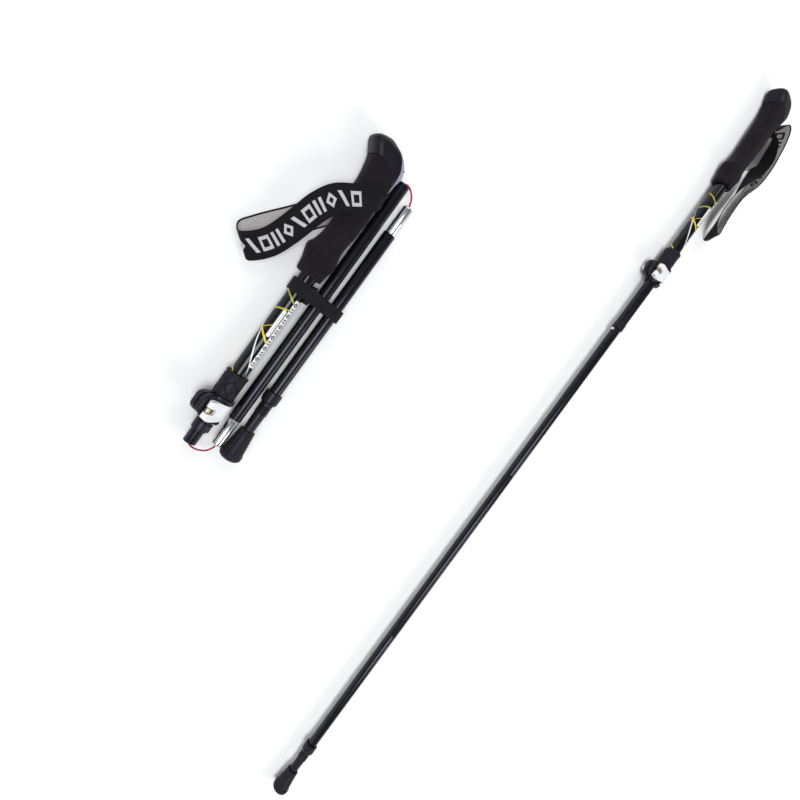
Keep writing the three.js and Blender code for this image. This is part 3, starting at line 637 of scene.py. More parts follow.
class Pole:
    """One pole: where it lies, and ways to build its pieces there."""

    def __init__(self, prefix, seed):
        self.prefix = prefix
        self.at = pole_origin(prefix)
        self.seed = Vector((seed, 0, 0))
        joints = frame["record"]["behaviour"]["joints"]
        axis = next(j["axis"] for j in joints if j["name"] == f"{prefix}_nut_turn")
        # The clamp is turned about the tube; its bolt stands across it, the lever's pin along it.
        self.clamp = Matrix.Rotation(atan2(-axis[1], axis[2]), 4, "X")
        quarter = Matrix.Rotation(-pi / 2, 4, "Y")
        self.bolt = self.clamp @ Matrix.Translation((BOLT_X, EYE_Y, 0)) @ quarter
        self.eye = self.clamp @ Matrix.Translation((0, EYE_Y, EYE_Z))

    def solid(self, name, points, faces, surf=None, place=IDENTITY):
        name = f"{self.prefix}_{name}"
        return outward(mesh_object(name, points, faces, surf, place, self.at))

    def closed_skin(self, name, skin, place=IDENTITY, first_x=0.0, last_x=0.0):
        """A skin of rings, with a face over the first ring and one over the last."""
        points, faces, values = skin
        count, end = faces[0][3] - faces[0][0], len(points)
        faces += [tuple(range(count))[::-1], tuple(range(end - count, end))]
        values += [[(0.0, first_x, 0.0)] * count, [(0.0, last_x, 0.0)] * count]
        return self.solid(name, points, faces, values, place)

    def turned(self, name, profile, sides, place=IDENTITY, closed=True, wave=None, turn=0.0):
        """Turns (x, radius) points about X. wave(x, radius, angle) gives a changed radius.

        The print runs round from the top, and its seam is at the bottom.
        """
        rows = []
        for x, radius in profile:
            ring = []
            for angle in circle(sides):
                r = wave(x, radius, angle) if wave else radius
                ring.append((x, r * sin(angle), r * cos(angle)))
            rows.append(ring)
        size = max(radius for _, radius in profile)

        def surf(i, k):
            return ((tau * k / sides + turn) * size, profile[i % len(profile)][0], 0.0)

        points, faces, values = grid(rows, closed, surf)
        for f, corners in enumerate(values):
            if f % sides > sides // 2:
                values[f] = [(around - tau * size, x, side) for around, x, side in corners]
        if closed:
            return self.solid(name, points, faces, values, place)
        ends = profile[0][0], profile[-1][0]
        return self.closed_skin(name, (points, faces, values), place, *ends)

    def rod(self, name, low, high, radius, sides, place=IDENTITY, soft=0.0):
        profile = fillet([(low, 0.0), (low, radius), (high, radius), (high, 0.0)], soft, 2, False)
        return self.turned(name, profile, sides, place, False)

    def pipe(self, name, low, high, radii, sides, place=IDENTITY, soft=0.0, turn=0.0):
        inner, outer = radii
        profile = fillet([(low, inner), (low, outer), (high, outer), (high, inner)], soft)
        return self.turned(name, profile, sides, place, turn=turn)

    def prism(self, name, outline, low, high, place=IDENTITY, along_x=False):
        """An (x, y) outline raised along z, or a (y, z) outline drawn out along x."""
        count = len(outline)
        points = [(w, *p) if along_x else (*p, w) for w in (low, high) for p in outline]
        faces = [(k, (k + 1) % count, count + (k + 1) % count, count + k) for k in range(count)]
        faces += [tuple(range(count))[::-1], tuple(range(count, 2 * count))]
        return self.solid(name, points, faces, None, place)

    def block(self, name, low, high, place=IDENTITY):
        (x0, y0, z0), (x1, y1, z1) = low, high
        return self.prism(name, [(x0, y0), (x1, y0), (x1, y1), (x0, y1)], z0, z1, place)

    def ribbon(self, name, stations, steps, thick, sides=(0.0, 1.0), pattern_from=62.0):
        """Webbing with rounded selvedges; returns it, its length and its area.

        A station is the middle's x, y, z, then the direction to one edge if it isn't z, then how
        far that edge is if it isn't 14 mm, or 0 for the direction's own length. Each of the two
        sides is 0 for black, 1 for grey or 2 for grey with dark figures.
        """
        centres, edges = [], []
        for x, y, z, *rest in stations:
            reach = rest.pop() if len(rest) % 3 else WEBBING_HALF
            half = Vector(rest or (0, 0, 1))
            if reach:
                half = half.normalized() * reach
            centres.append(Vector((x, y, z)))
            edges.append(centres[-1] + half)
        middle, edge = curve_points(centres, steps), curve_points(edges, steps)
        lanes = [-1.0, -0.985, -0.94, -0.6, -0.2, 0.2, 0.6, 0.94, 0.985, 1.0]
        swell = [0.35, 0.8, 1.12, 1.0, 1.0, 1.0, 1.0, 1.12, 0.8, 0.35]
        rows, walked = [], distances(middle)
        for i, at in enumerate(middle):
            half = edge[i] - at
            before, after = middle[max(i - 1, 0)], middle[min(i + 1, steps)]
            out = (after - before).cross(half).normalized() * thick / 2
            ring = [at + half * lane + out * k for lane, k in zip(lanes, swell)]
            ring += [at + half * lane - out * k for lane, k in zip(lanes[::-1], swell[::-1])]
            rows.append(ring)
        around = lanes + lanes[::-1]

        def surf(i, k):
            k %= len(around)
            side = sides[1] if k < len(lanes) else sides[0]
            return (around[k] * WEBBING_HALF, walked[min(i, steps)] - pattern_from, side)

        halves = [(e - m).length for e, m in zip(edge, middle)]
        area = sum(
            (walked[i + 1] - walked[i]) * (halves[i] + halves[i + 1]) for i in range(steps)
        )
        return self.closed_skin(name, grid(rows, False, surf)), walked[-1], area

    def cord(self, name, points, steps, sides=16):
        """A round cord along a curve through points."""
        route = curve_points(points, steps)
        rows, walked = [], distances(route)
        for i, at in enumerate(route):
            along = (route[min(i + 1, steps)] - route[max(i - 1, 0)]).normalized()
            side = along.cross(Vector((0, 0, 1))).normalized()
            top = side.cross(along)
            rows.append([
                at + (side * cos(a) + top * sin(a)) * CORD_RADIUS for a in circle(sides)
            ])

        def surf(i, k):
            return (k / sides * tau * CORD_RADIUS, walked[min(i, steps)], 0.0)

        return self.closed_skin(name, grid(rows, False, surf))

    def dress(self, obj, slot, *nodes):
        """Gives a piece its finish and hides the CAD nodes it stands for."""
        obj.data.materials.clear()
        obj.data.materials.append(MATERIALS[slot])
        if nodes:
            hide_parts(*(f"{self.prefix}_{node}" for node in nodes))

    def finish(self, obj, slot, *nodes, body="handle"):
        """The same for a rigid piece, set on its body."""
        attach(obj, f"{self.prefix}_{body}")
        self.dress(obj, slot, *nodes)


# ---- grip
# The grip's top and bottom lines, half width and squareness along x.
grip_top = through([
    (0, 14.7), (12, 16.4), (26.6, 20.5), (34, 16.9), (46, 14.4), (58, 14), (80, 16.2), (97, 17.5),
    (107, 17.5), (118, 18.7), (130.4, 21.4), (138, 26), (142.4, 29.3), (146.5, 30.4), (150, 28),
    (152.6, 24.6), (155.5, 17.1),
])
grip_bottom = through([
    (0, -13.4), (12, -14.8), (19.3, -17.2), (34, -14.2), (46, -13.9), (58, -15.2), (70, -15.7),
    (82, -16.2), (94, -15.4), (110, -14.4), (118, -14.4), (126, -16.2), (135.4, -17.4),
    (144.1, -13), (149, -8), (152.6, -2.4), (155.5, 8.7),
])
grip_half_width = through([
    (0, 13.2), (20, 14.6), (34, 13), (58, 12.6), (82, 12.9), (112, 12.9), (122, 14.2), (130, 15.4),
    (146, 15.4), (151, 13), (155.5, 8),
])
grip_square = through([(0, 0.85), (100, 0.85), (124, 0.66), (148, 0.66), (155.5, 0.8)])
GRIP_END = 154.9
FOAM_EDGE = [  # (y, x) of the line between foam and head
    (-FAR, 116.5), (-15, 117.5), (-10.6, 120.5), (-4, 126), (2.4, 131.6), (8, 134), (12.3, 134.2),
    (16, 133.6), (20.3, 132.3), (FAR, 131),
]
INSERT_EDGE = [  # (x, y) of the line between head and insert
    (116.9, -12.9), (122.4, -12.3), (137.8, -9.7), (144.1, -6.3), (150.2, 0), (153, 7.6), (160, 8),
]
SHELL_GAP = 0.12  # on each side of the line between foam and head


def along_line(points, value):
    """Straight-line interpolation through (key, value) points."""
    for (a, va), (b, vb) in zip(points, points[1:]):
        if value <= b:
            return va + (vb - va) * (min(max(value, a), b) - a) / (b - a)
    return points[-1][1]


def smoothed(points, value, reach):
    """The same, averaged over a small reach so that its corners are round."""
    return sum(along_line(points, value + reach * k / 4) for k in range(-4, 5)) / 9


def grip_point(x, angle, inset=0.0):
    """(y, z) of the grip's surface."""
    c, s = cos(angle), sin(angle)
    square = grip_square(x)
    top, bottom = grip_top(x), grip_bottom(x)
    tall = (top - bottom) / 2 - inset
    wide = grip_half_width(x) - inset
    y = (top + bottom) / 2 + tall * copysign(abs(c) ** square, c)
    return y, wide * copysign(abs(s) ** square, s)


def foam_end(angle):
    """Where the foam ends along x at this angle round the grip."""
    low, high = 105.0, 140.0
    for _ in range(30):
        x = (low + high) / 2
        if x < smoothed(FOAM_EDGE, grip_point(x, angle)[0], 1.6):
            low = x
        else:
            high = x
    return (low + high) / 2


def insert_start(angle, start):
    """Where the grey insert begins along x at this angle, or the grip's end."""
    steps = 160
    for k in range(steps + 1):
        x = start + (GRIP_END - start) * k / steps
        if grip_point(x, angle)[0] < smoothed(INSERT_EDGE, x, 0.8):
            return x
    return GRIP_END


def soft_flat(z, limit):
    """Presses z into a flat side with a soft shoulder."""
    shoulder = 1.2
    start = limit - shoulder
    over = abs(z) - start
    if over <= 0:
        return z
    return copysign(start + shoulder * (1 - exp(-over / shoulder)), z)


def grip_foam(pole):
    sides, steps, bore = 112, 96, 9.15
    angles = circle(sides)
    ends = [foam_end(angle) - SHELL_GAP for angle in angles]

    def ring(share, inset):
        row = []
        for end, angle in zip(ends, angles):
            x = end * share
            y, z = grip_point(x, angle, inset)
            z = soft_flat(z, 14.85)
            # The strap comes out under the grip, where the foam is pressed in.
            ramp = 1 - clamped((abs(z) - 8.5) / 4.0)
            press = clamped((x - 100) / 8) * ramp
            floor = -16 + 6 * clamped((x - 103) / 19)
            y += max(floor - y, 0) * press
            # Cut foam is never quite even.
            grain = 1 + 0.002 * noise.noise(Vector((x, y, z)) * 0.23 + pole.seed)
            row.append((x, y * grain, z * grain))
        return row

    def inner(share, radius, shift=0.0):
        return [
            (end * share + shift, radius * cos(angle), radius * sin(angle))
            for end, angle in zip(ends, angles)
        ]

    rows = [inner(0.0, bore, 0.25), inner(0.0, 10.2)]
    rows += [ring(0.0, 2.0), ring(0.0015, 1.1), ring(0.005, 0.45), ring(0.011, 0.1)]
    rows += [ring(0.016 + 0.974 * i / steps, 0.0) for i in range(steps + 1)]
    rows += [ring(0.9965, 0.18), ring(1.0, 0.7), ring(1.0, 2.2), inner(1.0, bore)]
    points, faces, _values = grid(rows, True)
    obj = pole.solid("foam_grip", points, faces)
    pole.finish(obj, "grip_foam", "grip_foam")


def head_skin(pole, name, slot, node, insert):
    """The head's skin from the foam to the insert, or the insert's from there to the end."""
    sides, steps = 160, 44
    angles = circle(sides)
    spans = []
    for angle in angles:
        start = foam_end(angle) + SHELL_GAP
        split = insert_start(angle, start)
        spans.append((split, GRIP_END) if insert else (start, split))
    rows = []
    for share in (i / steps for i in range(steps + 1)):
        row = []
        for angle, (x0, x1) in zip(angles, spans):
            x = x0 + (x1 - x0) * share
            y, z = grip_point(x, angle)
            row.append((x, y, soft_flat(z, 15.0)))
        rows.append(row)
    points, faces, _values = grid(rows)

    def has_area(face):
        a, b, c, d = (Vector(points[i]) for i in face)
        return (a - c).cross(b - d).length > 1e-6

    faces = [face for face in faces if has_area(face)]
    if not insert:
        # The rounded end, which closes the head above the insert.
        rim = [Vector((GRIP_END, *grip_point(GRIP_END, angle))) for angle in angles]
        centre = Vector((GRIP_END, 12.9, 0.0))
        rows = []
        for grow in (1.0, 0.985, 0.95, 0.88, 0.76, 0.6, 0.42, 0.24, 0.08):
            bulge = Vector((0.6 * sqrt(1 - grow * grow), 0, 0))
            rows.append([centre + (p - centre) * grow + bulge for p in rim])
        more, cap_faces, _values = grid(rows)
        faces += [tuple(i + len(points) for i in face) for face in cap_faces]
        points = points + more
        faces.append(tuple(range(len(points) - sides, len(points))))
    obj = pole.solid(name, points, faces)
    step = obj.modifiers.new("thick", "SOLIDIFY")
    step.thickness, step.offset, step.use_even_offset = 1.6 * MM, -1.0, False
    applied(obj)
    eased(obj, 0.22, 2, 50.0)
    pole.finish(obj, slot, node)


def strap_pin(pole):
    """The two visible ends of the pin; the first stands for the CAD node."""
    profile = [(10.4, 0.0), (10.4, 1.5), (11.6, 1.5), (11.85, 1.2), (11.95, 0.6), (11.95, 0.0)]
    profile = fillet(profile, 0.15, 2, False)
    for end, side, nodes in (("a", 1, ["strap_pin"]), ("b", -1, [])):
        turn = Matrix.Rotation(-side * pi / 2, 4, "Y")
        place = Matrix.Translation((140.3, -11.8, 0)) @ turn
        obj = pole.turned(f"pin_head_{end}", profile, 32, place, False)
        pole.finish(obj, "pin_dark", *nodes)


# ---- straps
# Rows as Pole.ribbon reads them.
FOLDED_STRAP = [
    (136, -11, 0, 8.2), (122, -11.1, 0, 8.2), (117, -12.4, 0.4, 8.2),
    (112, -14.5, 2.6, 0.1, 0.03, 1, 8.2), (108, -14.6, 9.2, 0.3, 0.3, 0.9, 8.6),
    (103.6, -8.6, 14.2, 0.62, 0.6, 0.36, 11), (97, -1.5, 15, 0.74, 0.66, 0.08, 13),
    (86, 12, 14.8, 0.72, 0.69, -0.03), (73.5, 26.5, 12.4, 0.6, 0.79, -0.08),
    (57, 34.5, 9, 0.36, 0.93, -0.06), (38, 39, 5.4, 0.24, 0.97, -0.02),
    (20, 43.4, 2.2, 0.3, 0.95, 0.02), (3, 49.6, -0.4, 0.42, 0.9, 0.03),
    (-9.5, 59, -2.6, 0.55, 0.83, 0.02), (-15.2, 66.5, -7.6, 0.62, 0.78, 0),
    (-8, 69.6, -12.6, 0.6, 0.8, 0), (6, 61.5, -14, 0.59, 0.81, 0), (34, 41, -14, 0.58, 0.81, 0),
    (62, 20.5, -14, 0.58, 0.81, 0), (84, 4.5, -14, 0.6, 0.8, 0), (94, -4, -13.9, 0.62, 0.78, 0, 12),
    (101.4, -11, -12.4, 0.6, 0.66, -0.12, 8), (106.5, -15, -8.6, 0.3, 0.2, -0.9, 5.4),
    (112, -15.7, -3, 0.4, 0, -7, 0), (117, -13.4, -0.3, -7.6), (122, -12.6, 0, -8.2),
    (136, -12.6, 0, -8.2),
]
EXTENDED_STRAP = [
    (136, -11, 0, 8.2), (122, -11.1, 0, 8.2), (116.5, -12.6, 0, 8.2), (112, -15.8, 0, 9),
    (109.6, -20, 0, 11), (107, -27, 0), (101, -37, 0), (90, -45.5, 0), (64, -46.5, 0, 0, 0.12, 1),
    (40, -42, 0.6, 0.05, 0.45, 0.85), (18, -37.5, 1.6, 0.08, 0.75, 0.62),
    (-6, -34.5, 2.6, 0.1, 0.84, 0.52), (-30, -36, 2.2, 0.12, 0.82, 0.55),
    (-45, -42, 0.5, 0.16, 0.7, 0.7), (-50.5, -52, -1.4, 0.1, 0.45, 0.88),
    (-43, -61, -3, 0.02, 0.6, 0.8), (-22, -64.5, -4.8, 0, 0.74, 0.66),
    (2, -64, -5.6, 0, 0.78, 0.62), (26, -62.5, -5, 0, 0.74, 0.68), (50, -60.5, -1.6, 0, 0.35, 0.93),
    (76, -56.5, -0.2, 0, 0.08, 1), (102, -50.5, 0), (124, -43.5, 0), (135.6, -35, 0),
    (136, -26.4, 0), (128.4, -21.2, 0, 13), (120.4, -18.4, 0, 11), (116, -16.4, 0, 9),
    (116.2, -14.1, 0, 8.2), (119.4, -12.8, 0, 8.2), (124, -12.6, 0, 8.2), (136, -12.6, 0, 8.2),
]
STRAP_TAIL = [
    (105.6, -18.4, -1, 10), (97, -23.4, -1.4, 0, 2, 11, 0), (82, -29.6, -2, 0, 4.5, 10.6, 0),
    (66, -35.6, -2.6, 0, 5.5, 10, 0),
]


def strap(pole, name, node, stations, steps, width, held, sides=(0.0, 1.0), pattern_from=62.0):
    obj, length, area = pole.ribbon(name, stations, steps, 1.1, sides, pattern_from)
    pole.finish(obj, "webbing", node)
    length * MM
    min(area, width * length) * MM ** 2


# ---- clamp
def clamp_body(pole):
    """A ring, two ears with a slit, a rim beside the lever and a fin."""
    place = pole.clamp
    ring = pole.turned("clamp_housing", [
        (-178, 8.35), (-178, 9.6), (-173.5, 11.6), (-148.5, 11.6), (-148.5, 9.3), (-171.7, 9.3),
        (-171.7, 8.35),
    ], 80, place)
    ears = pole.prism("ears", fillet([
        (-174, 6.0), (-173.8, 17), (-171.8, 22), (-169, 24.4), (-166, 25), (-157, 25),
        (-153.8, 24.2), (-151.4, 21.4), (-149.8, 16), (-149.2, 6.0),
    ], 2.0, 4), -7.5, 7.5, place)
    eased(ears, 1.5, 4, 60.0)
    rim = pole.pipe("rim", -151.6, -148.5, (10.5, 14.4), 80, place)
    carve(rim, "INTERSECT", pole.block("half", (-160, -14.2, 0), (-140, 12, FAR), place))
    fin = pole.turned("fin", [(-177, 10), (-177, 13), (-175.2, 13.6), (-173.6, 10)], 80, place)
    carve(fin, "INTERSECT", pole.block("half", (-180, -14.2, 0), (-170, -1, FAR), place))
    carve(ring, "UNION", ears, rim, fin)
    carve(
        ring, "DIFFERENCE",
        pole.rod("bore", -171.7, -100, 9.3, 80, place),
        pole.rod("neck", -190, -160, 8.35, 80, place),
        pole.block("slit", (-185, 0.5, -1.1), (-140, FAR, 1.1), place),
        pole.rod("hole", -20, 20, 2.3, 40, pole.bolt),
    )
    eased(ring, 0.35, 2, 40.0)
    pole.finish(ring, "clamp_black", "clamp_body")


def clamp_boot(pole):
    """The rubber sleeve, with crossing grooves."""
    low, high, skin = -147.2, -125.6, 11.9

    def embossed(x, radius, angle):
        if radius < skin or x < low or x > high:
            return radius
        u, v = (x + 136.2) / 15.0, angle / tau * 5.0
        reach = 1.0
        for slope in (1, -1):
            f = (u * slope + v) % 1.0
            reach = min(reach, f, 1 - f)
        groove = max(0.0, 1 - reach / 0.062)
        fade = min(1.0, x - low, high - x)
        return radius - 0.7 * groove ** 0.8 * max(fade, 0.0)

    profile = [(-148.2, 9.35), (-148.2, 11.4), (-148.0, 11.8), (-147.6, 12.0)]
    profile += [(-147.4 + 22.4 * i / 110, 12.0) for i in range(111)]
    profile += [
        (-124.9, 11.75), (-124.5, 11.75), (-124.2, 12.05), (-123.8, 12.35), (-123.2, 12.45),
        (-122.2, 12.45), (-121.6, 12.3), (-121.2, 11.9), (-121.2, 9.35),
    ]
    boot = pole.turned("clamp_boot", profile, 300, pole.clamp, wave=embossed)
    pole.finish(boot, "rubber_black", "clamp_sleeve")


def clamp_fittings(pole):
    """The eye bolt, the lever's pin and the domed nut with its finely fluted rim."""
    bolt = pole.rod("eye_bolt", -12.4, 9.4, 2, 40, pole.bolt, 0.3)
    eye = pole.pipe("eye", -167.1, -161.9, (EYE_BORE, 3.1), 48, pole.eye, 0.5)
    pole.finish(carve(bolt, "UNION", eye), "bolt_bronze", "clamp_bolt")
    pin = pole.rod("hinge_pin", -174.6, -157, 1.4, 32, pole.eye, 0.3)
    pole.finish(pin, "bolt_bronze", "lever_pin")

    def fluted(x, radius, angle):
        if radius > 4.6 and -10.9 < x < -8:
            radius -= 0.14 * (0.5 + 0.5 * cos(30 * angle))
        return radius

    nut = pole.turned("dome_nut", [
        (-7.8, 2.3), (-7.8, 4.5), (-8.1, 4.75), (-10.4, 4.75), (-10.8, 4.6), (-11.3, 4.5),
        (-12.2, 4.28), (-13.0, 3.8), (-13.7, 3.1), (-14.15, 2.2), (-14.42, 1.2), (-14.5, 0.02),
        (-12.8, 0.02), (-12.8, 2.3),
    ], 120, pole.bolt, wave=fluted)
    pole.finish(nut, "nut_chrome", "clamp_nut", body="nut")


def clamp_lever(pole):
    """The white cam lever: a bent plate round the ring, cut to its outline, with a fork."""
    def arc(cy, cz, radius, start, end, steps):
        return [
            (cy + radius * sin(a), cz + radius * cos(a))
            for a in (radians(start + (end - start) * i / steps) for i in range(steps + 1))
        ]

    section = arc(EYE_Y, EYE_Z, 3.3, 215, 0, 24) + arc(0, 0, 15, 15, -64, 30)
    section += arc(0, 0, 14.6, -66.5, -67, 1) + arc(0, 0, 13.0, -68.5, -68, 1)
    section += arc(0, 0, 12.4, -65, 24, 30)
    lever = pole.prism("cam_lever", section, -179, -145, pole.clamp, along_x=True)
    outline = curve_outline([
        (-173.2, 21.2), (-175.0, 16), (-175.3, 10), (-173, 2), (-170, -4), (-168.4, -10),
        (-167.9, -17.5), (-147.0, -17.5), (-148.4, -12.4), (-152.4, -8.4), (-153.4, 2),
        (-153.2, 10), (-153.8, 16), (-155.6, 21.2),
    ])
    carve(lever, "INTERSECT", pole.prism("outline", outline, -FAR, FAR, pole.clamp))
    fork = fillet([(-167.7, 9.6), (-161.3, 9.6), (-161.3, FAR), (-167.7, FAR)], 2.6, 6)
    carve(
        lever, "DIFFERENCE",
        pole.prism("fork", fork, 0, FAR, pole.clamp),
        pole.rod("pin_bore", -200, -140, EYE_BORE, 32, pole.eye),
        pole.pipe("rim_room", -152, -146.4, (9, 14.7), 80, pole.clamp),
    )
    eased(lever, 0.45, 3, 40.0)
    pole.finish(lever, "lever_white", "clamp_lever", body="lever")


# ---- tubes and tip
def telescope(pole, sleeve_x, tension_x, button_top, sleeve_body, tension_body, button_body):
    """The sleeve tube with its collar and key, and the tension tube with its button."""
    sleeve = Matrix.Translation((sleeve_x, 0, 0))
    tension = Matrix.Translation((tension_x, 0, 0))
    tube = pole.pipe("middle_tube", SLEEVE_MOUTH, 100, SLEEVE_RADII, 96, sleeve, 0.35)
    pole.finish(tube, "tube_black", "sleeve_tube", body=sleeve_body)
    collar = pole.turned("tube_collar", fillet([
        (-191, 7.3), (-191, 8.2), (-190.4, 8.62), (-180.4, 8.62), (-180.4, 8.12),
        (-188.4, 8.12), (-188.4, 7.3),
    ], 0.2, 2), 96, sleeve)
    key = pole.block("key", (-190.4, -10.2, -2), (-180.6, -8.3, 2), sleeve)
    eased(key, 0.7, 3, 40.0)
    carve(collar, "UNION", key)
    pole.finish(collar, "clamp_black", "sleeve_collar", body=sleeve_body)

    tube = pole.pipe("inner_tube", TENSION_MOUTH, 92, THIN_RADII, 96, tension, 0.35)
    stand = tension @ Matrix.Translation((TENSION_MOUTH + 267, 0, 0))
    stand = stand @ Matrix.Rotation(pi / 2, 4, "Z")
    carve(tube, "DIFFERENCE", pole.rod("hole", 2.0, 20, 2.7, 40, stand))
    smooth(tube)
    pole.finish(tube, "tube_black", "tension_tube", body=tension_body)
    button = pole.turned("snap_button", shifted(button_top, [
        (-5.6, 0.0), (-5.6, 2.4), (-1.6, 2.4), (-0.9, 2.2), (-0.4, 1.75), (-0.1, 1.0), (0, 0.0),
    ]), 48, stand, False)
    pole.finish(button, "nut_chrome", "push_button", body=button_body)


def section(pole, name, letter, length, reach, body, place):
    """A folding section's tube and its ferrule, whose rounded end is this far past the tube."""
    tube = pole.pipe(f"{name}_section", 0, length, THIN_RADII, 96, place, 0.35)
    pole.finish(tube, "tube_black", f"section_{letter}_tube", body=body)
    profile = [(-reach, 1.3)]
    for a in (pi / 2 * i / 8 for i in range(8, -1, -1)):
        profile.append((-reach + 3 * (1 - sin(a)), 6 - 3 * (1 - cos(a))))
    profile += [(-0.9, 6.0), (-0.7, 5.85), (-0.3, 5.85), (-0.1, 6.0), (26, 6.0), (26, 1.3)]
    ferrule = pole.turned(f"{name}_ferrule", profile, 96, place)
    pole.finish(ferrule, "ferrule_aluminium", f"section_{letter}_ferrule", body=body)


def stop_collar(pole, body, place):
    """The basket's stop collar, with two finger notches."""
    low, high = C_LENGTH - 2, C_LENGTH + 11.5

    def notched(x, radius, angle):
        if radius < 9.0 or not low + 1.5 < x < high - 2.2:
            return radius
        return radius - 0.45 * max(0.0, cos(2 * angle)) ** 6

    profile = shifted(low, [(0, 7.3), (0, 8.9), (0.25, 9.25), (0.7, 9.5)])
    profile += [(low + 0.9 + (high - low - 3.4) * i / 24, 9.5) for i in range(25)]
    profile += shifted(high, [(-2.1, 9.3), (-0.9, 8.7), (-0.3, 8.45), (0, 8.1), (0, 7.3)])
    collar = pole.turned("stop_collar", profile, 120, place, wave=notched)
    pole.finish(collar, "clamp_black", "basket_collar", body=body)


def tip_shaft(pole, body, place):
    """The tip's shaft with four thread rings, and its toothed carbide point."""
    start, tip = C_LENGTH + 0.3, C_LENGTH + 62.1
    profile = [(-12, 0.0), (-12, 6), (0, 6), (0, 6.9), (14.4, 6.9), (14.9, 6.5)]
    for i in range(4):
        profile += shifted(15.2 + 2.6 * i, [
            (0, 6.35), (0.35, 6.6), (0.6, 7.1), (0.9, 7.25), (1.3, 7.25), (1.6, 7.1),
            (1.85, 6.6), (2.1, 6.35),
        ])
    profile = shifted(start, profile + [(26.2, 6.45)])
    profile += shifted(tip, [
        (-14, 6), (-13.4, 5.2), (-0.4, 4.7), (0, 4.3), (0, 2.8), (-6, 2.8), (-6, 0.0),
    ])
    shaft = pole.turned("tip_holder", profile, 72, place, False)
    pole.finish(shaft, "clamp_black", "tip_shaft", body=body)

    def toothed(x, radius, angle):
        if x > tip + 3 and radius > 1.5:
            radius -= 0.18 * (0.5 + 0.5 * cos(8 * angle))
        return radius

    carbide = pole.turned("carbide_point", shifted(tip, [
        (-5.7, 0.0), (-5.7, 2.5), (3.5, 2.5), (6.2, 2.05), (6.5, 1.8), (5.6, 0.0),
    ]), 64, place, False, toothed)
    pole.finish(carbide, "carbide_steel", "carbide_tip", body=body)


def tip_cap(pole, place):
    """The rubber cap: flutes along its side, a lip round the mouth and a knurled dome."""
    mouth, last = C_LENGTH + 47.3, C_LENGTH + 85.2

    def ribbed(x, radius, angle):
        if radius < 7.5:
            return radius
        share = clamped((x - mouth - 4.5) / 3.0) * clamped((last - 10.0 - x) / 2.5)
        flute = max(0.0, cos(8 * angle)) ** 5
        knurl = 0.35 * max(0.0, cos(36 * angle)) if last - 9.6 < x < last - 3.5 else 0.0
        return radius - 0.95 * flute * share - knurl

    side = last - 10.5 - mouth - 4.2
    profile = shifted(mouth, [
        (0, 6.5), (0, 8.2), (0.3, 8.6), (0.9, 8.75), (3.2, 8.8), (3.6, 8.55),
        *((4.2 + side * i / 30, 8.9 + 2.6 * i / 30) for i in range(31)),
    ])
    profile += shifted(last, [
        (-10.1, 11.9), (-9.6, 12.5), (-9.0, 12.6),
        *((-8.4 + 3.4 * i / 6, 12.6 - 0.15 * i / 6) for i in range(7)),
        (-4.2, 12.2), (-3.2, 11.6), (-2.2, 10.7), (-1.3, 9.4), (-0.6, 7.4), (-0.15, 4.0),
        (0, 0.02), (-8.5, 0.02), (-8.5, 5.6),
    ])
    profile += shifted(mouth, [(4, 5.6), (3, 6.5)])
    cap = pole.turned("rubber_cap", profile, 288, place, wave=ribbed)
    pole.finish(cap, "rubber_black", "tip_cap", body="tip_cap")


def lower_end(pole, body, place):
    """Section C with everything at its end."""
    section(pole, "lower", "c", C_LENGTH, 35, body, place)
    stop_collar(pole, body, place)
    tip_shaft(pole, body, place)
    tip_cap(pole, place)


# ---- cord and band
def cord_links(pole):
    """Each bare stretch of cord, in two halves."""
    a, b = TENSION_MOUTH, 135.2
    links = (
        ("ab", ("folded_cord_1", "folded_link_1", "folded_section_b"), [
            (a + 0.6, 0, 0), (a - 1.8, -1, 0), (a - 3.9, -6, 0), (a - 3.6, -13, 0),
            (a - 1.2, -19, 0), (a + 3.6, -23.4, 0), (-198.7, B_Y, 0),
        ]),
        ("bc", ("folded_cord_2", "folded_link_2", "folded_section_c"), [
            (b + 0.3, B_Y, 0), (b + 2.2, -26.4, 0), (b + 3, -30.4, 0), (b + 0.8, -36, 0),
            (b - 4, -41, 0), (123.4, C_Y, 0),
        ]),
    )
    steps = 30
    for pair, bodies, path in links:
        line = curve_points(path, 2 * steps)
        for half, points, joined in (
            ("near", line[:steps + 1], bodies[:2]), ("far", line[steps:], bodies[1:]),
        ):
            obj = pole.cord(f"cord_loop_{pair}_{half}", points, steps)
            pole.dress(obj, "cord_red", f"cord_link_{pair}")
            start, end = (pole.at + p * MM for p in (points[0], points[-1]))
            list(joined)
            tuple(start)
            tuple(end)
            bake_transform(obj)


